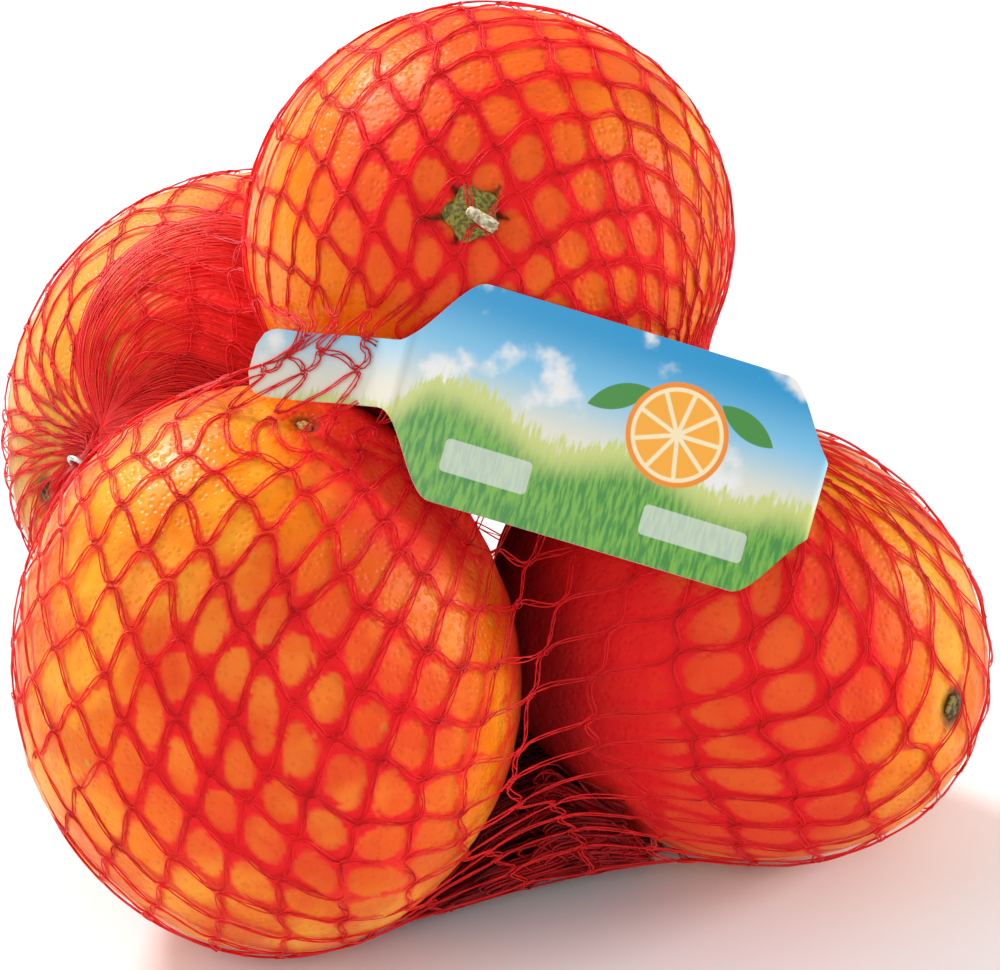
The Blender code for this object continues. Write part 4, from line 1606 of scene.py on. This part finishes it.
@dataclass
class StemEnd:
    """The dried calyx and the cut stem of the top orange."""

    fruit: Fruit
    calyx: StemFinish = StemFinish("dried_olive_calyx", "#8E882A", "#56501A", 1500.0)
    stub: StemFinish = StemFinish("pale_cut_stem", "#D8CDAF", "#8F7F5C", 1300.0)
    lobes: int = 5
    star: float = 4.9
    boss: float = 3.2
    rings: int = 12
    sides: int = 60
    stub_lean: tuple = (0.80, -0.51, -0.33)
    stub_sides: int = 18
    stub_stations: tuple = (
        (0.0, 0.7), (0.4, 1.0), (1.4, 1.0), (2.6, 1.1), (4.2, 1.1), (5.2, 1.05),
    )

    def build(self) -> list:
        """Model the star of dried sepals, its boss, and the stem stub."""
        way = unit(self.fruit.orange.marks[0].way)
        first, second = across(way, (0.0, 0.0, 1.0))
        base = self.fruit.surface_point(way[None], -1.2)[0]
        rings, sides = self.rings, self.sides
        turn = TAU * np.arange(sides) / sides
        rng = np.random.default_rng(8)
        rag = np.interp(turn, np.linspace(0.0, TAU, 14), np.append(rng.uniform(-0.3, 0.3, 13), 0.0))
        edge = self.star * (0.86 + 0.10 * np.cos(self.lobes * turn)) + rag
        points = [base + way * 1.5]
        for k in range(1, rings + 1):
            share = k / rings
            far = edge * share ** 0.9
            high = 1.7 * np.exp(-((far / self.boss) ** 4)) + 0.35 * share
            high = high + 0.35 * np.cos(self.lobes * turn) * share + 0.8 * rag * share
            for j in range(sides):
                out = first * math.cos(turn[j]) + second * math.sin(turn[j])
                points.append(base + out * far[j] + way * high[j])
        under = len(points)
        for j in range(sides):
            out = first * math.cos(turn[j]) + second * math.sin(turn[j])
            points.append(base + out * edge[j] * 0.85 - way * 0.8)
        points.append(base - way * 1.0)
        number = np.arange(1, under).reshape(rings, sides)
        number = np.vstack([number, np.arange(under, under + sides)])
        quads = ring_quads(number[:-1], number[1:])
        top = np.stack([np.zeros(sides, int), np.roll(number[0], -1), number[0]], -1)
        low = np.stack([np.full(sides, len(points) - 1), number[-1], np.roll(number[-1], -1)], -1)
        faces = [quads, top, low]
        star = mesh_piece("stem_calyx", np.array(points), faces, [self.calyx.material()])
        turn_outward(star)
        return [star, self.stub_piece(base, way)]

    def stub_piece(self, base: np.ndarray, way: np.ndarray) -> bpy.types.Object:
        """The cut stem: a short, slightly flattened rod with a ragged end, leaning to the right."""
        lean = unit(self.stub_lean)
        first, second = across(lean, (0.0, 0.0, 1.0))
        rng = np.random.default_rng(4)
        sides, stations = self.stub_sides, self.stub_stations
        turn = TAU * np.arange(sides) / sides
        start = base + way * 2.3 - lean * 0.6
        points = []
        for along, radius in stations:
            rough = 1.0 + rng.normal(0.0, 0.06, sides)
            for j in range(sides):
                out = first * math.cos(turn[j]) + second * math.sin(turn[j]) * 0.85
                step = along + (rng.normal(0.0, 0.18) if along > 5.0 else 0.0)
                points.append(start + lean * step + out * radius * rough[j])
        points.append(start + lean * 4.9)
        points.append(start - lean * 0.2)
        number = np.arange(len(stations) * sides).reshape(len(stations), sides)
        quads = ring_quads(number[:-1], number[1:])
        tip = len(stations) * sides
        top = np.stack([np.full(sides, tip), number[-1], np.roll(number[-1], -1)], -1)
        low = np.stack([np.full(sides, tip + 1), np.roll(number[0], -1), number[0]], -1)
        piece = mesh_piece("stem_stub", np.array(points), [quads, top, low], [self.stub.material()])
        turn_outward(piece)
        return piece


@dataclass
class Button:
    """The small dried button at a blemish: a domed disc with a sunk rim."""

    fruit: Fruit
    mark: Mark
    finish: StemFinish

    def build(self) -> bpy.types.Object:
        """Model the button on the peel."""
        way = unit(self.mark.way)
        bpy.ops.object.select_all(action="DESELECT")
        bpy.ops.mesh.primitive_uv_sphere_add(segments=28, ring_count=14, radius=1.0)
        piece = bpy.context.active_object
        piece.name = self.fruit.orange.name.replace("orange", "button")
        base = self.fruit.surface_point(way[None], -0.75)[0]
        first, second = across(way, (0.2, 0.1, 0.9))
        rng = np.random.default_rng(len(piece.name))
        shape = np.array([v.co for v in piece.data.vertices])
        radius = self.mark.radius * 0.62
        turn = np.arctan2(shape[:, 1], shape[:, 0])
        ragged = 1.0 + 0.10 * np.sin(turn * 5.0 + rng.uniform(0.0, TAU)) + 0.05 * np.sin(turn * 9.0)
        dimple = 0.45 * np.exp(-((np.hypot(shape[:, 0], shape[:, 1]) / 0.35) ** 2))
        points = (
            base
            + np.outer(shape[:, 0] * radius * ragged, first)
            + np.outer(shape[:, 1] * radius * ragged, second)
            + np.outer(shape[:, 2] * 0.75 - dimple * np.sign(shape[:, 2]).clip(0), way)
        )
        piece.data.vertices.foreach_set("co", (points * MM).astype(np.float32).ravel())
        piece.data.update()
        piece.data.shade_smooth()
        piece.data.materials.append(self.finish.material())
        turn_outward(piece)
        return piece


@dataclass
class Clip:
    """A wire clip squeezed round one neck of the net, its ends lapped side by side."""

    gather: Gather
    finish: WireFinish = WireFinish()
    wire: float = 0.85
    gap: float = 0.3
    half_wide: float = 1.25
    half_thick: float = 0.75
    along: float = 4.3
    steps: int = 72
    turns: float = 1.16
    lap: float = 0.33
    flattening: float = 0.12
    pitch: float = 1.05

    def build(self) -> bpy.types.Object:
        """Bend the wire round the neck and turn it into a mesh."""
        neck, wide, thick = self.gather.frame()
        centre = np.asarray(self.gather.mouth) + neck * self.along
        margin = self.gap + self.wire / 2.0
        name = "wire_clip_" + self.gather.name
        curve = bpy.data.curves.new(name, "CURVE")
        curve.dimensions = "3D"
        curve.bevel_depth = self.wire / 2.0 * MM
        curve.bevel_resolution = 5
        curve.use_fill_caps = True
        spline = curve.splines.new("POLY")
        spline.points.add(self.steps - 1)
        for k, point in enumerate(spline.points):
            share = k / (self.steps - 1)
            turn = TAU * (share * self.turns - self.lap)
            slide = (share - 0.5) * self.wire * self.pitch
            flat = 1.0 + self.flattening * math.cos(2.0 * turn)
            place = (
                centre
                + wide * (self.half_wide + margin) * flat * math.cos(turn)
                + thick * (self.half_thick + margin) * math.sin(turn)
                + neck * slide
            )
            point.co = (*(place * MM), 1.0)
        made = bpy.data.objects.new(name, curve)
        bpy.context.scene.collection.objects.link(made)
        curve.materials.append(self.finish.material())
        bpy.ops.object.select_all(action="DESELECT")
        made.select_set(True)
        bpy.context.view_layer.objects.active = made
        bpy.ops.object.convert(target="MESH")
        piece = bpy.context.active_object
        turn_outward(piece, weld=True)
        piece.data.shade_smooth()
        return piece


@dataclass
class Studio:
    """The pale floor, the soft lights and the camera."""

    elevation: float = 32.91
    distance: float = 1208.8
    aim: tuple = (1.89, -15.93, 62.57)
    lens: float = 274.58
    floor_colour: str = "#F6F6F6"
    floor_size: float = 12.0
    lit: tuple = (0.0, 0.0, 0.06)
    lamps: tuple = (
        ("key_back_left", (-0.66, 0.75, 0.82), 0.32, 16.0),
        ("side_right", (1.20, 0.12, 0.45), 0.45, 9.0),
        ("side_left", (-1.20, -0.35, 0.75), 0.7, 4.5),
        ("fill_front", (0.1, -1.5, 1.0), 1.0, 6.5),
    )

    def floor(self) -> None:
        """A plain pale floor under the pack."""
        bpy.ops.object.select_all(action="DESELECT")
        bpy.ops.mesh.primitive_plane_add(size=self.floor_size, location=(0.0, 0.0, 0.0))
        ground = bpy.context.active_object
        ground.name = "studio_floor"
        constants = {"Base Color": linear(self.floor_colour), "Roughness": 0.85}
        ground.data.materials.append(blank_material("matt_white_paper_floor", constants)[0])

    def light(self, name: str, place: tuple, size: float, power: float) -> None:
        """One soft box that looks at the pack."""
        lamp = bpy.data.lights.new(name, "AREA")
        lamp.shape = "DISK"
        lamp.size = size
        lamp.energy = power
        made = bpy.data.objects.new(name, lamp)
        made.location = place
        way = Vector(self.lit) - Vector(place)
        made.rotation_euler = way.to_track_quat("-Z", "Y").to_euler()
        bpy.context.scene.collection.objects.link(made)

    def camera(self) -> None:
        """The camera at the photograph's viewing angle."""
        lens = bpy.data.cameras.new("camera")
        lens.sensor_width = 36.0
        lens.lens = self.lens
        lens.clip_start, lens.clip_end = 0.05, 20.0
        made = bpy.data.objects.new("camera", lens)
        high = math.radians(self.elevation)
        back = Vector((0.0, -math.cos(high), math.sin(high)))
        made.location = (Vector(self.aim) + back * self.distance) * MM
        made.rotation_euler = (math.radians(90.0 - self.elevation), 0.0, 0.0)
        bpy.context.scene.collection.objects.link(made)
        bpy.context.scene.camera = made

    def build(self) -> None:
        """Set the floor, the lights, the surroundings and the camera."""
        self.floor()
        self.camera()
        for lamp in self.lamps:
            self.light(*lamp)
        world = bpy.data.worlds.new("white_tent")
        bpy.context.scene.world = world
        world.use_nodes = True
        backdrop = world.node_tree.nodes["Background"]
        backdrop.inputs["Color"].default_value = linear("#FFFFFF")
        backdrop.inputs["Strength"].default_value = 0.5
        bpy.context.scene.view_settings.view_transform = "Standard"


def main() -> None:
    """Build the pack's looks, piece by piece."""
    logging.basicConfig(level=logging.INFO, format="%(message)s")
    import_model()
    Studio().build()
    form = NetForm()
    label = Label()
    netting = Netting(form, label)
    card = label.build()
    dress(card, ("label",))
    strands = netting.build()
    for number, piece in enumerate(strands):
        dress(piece, ("net_bag",) if number == 0 else ())
    dry = StemFinish("dried_button", "#8A7A3A", "#33290E", 1100.0)
    pale = StemFinish("pale_button", "#D9A45A", "#9A6424", 1100.0)
    for number, orange in enumerate(FRUIT):
        fruit = Fruit(orange, netting, seed=20 + number)
        dress(fruit.build())
        for mark in orange.marks:
            if mark.kind is Blemish.STEM:
                for piece in StemEnd(fruit).build():
                    dress(piece)
            elif mark.kind is not Blemish.FURROW:
                finish = pale if mark.kind is Blemish.PIT else dry
                dress(Button(fruit, mark, finish).build())
    for gather in (LEFT_GATHER, RIGHT_GATHER):
        dress(Clip(gather).build(), ("clip_" + gather.name,))


if __name__ == "__main__":
    main()
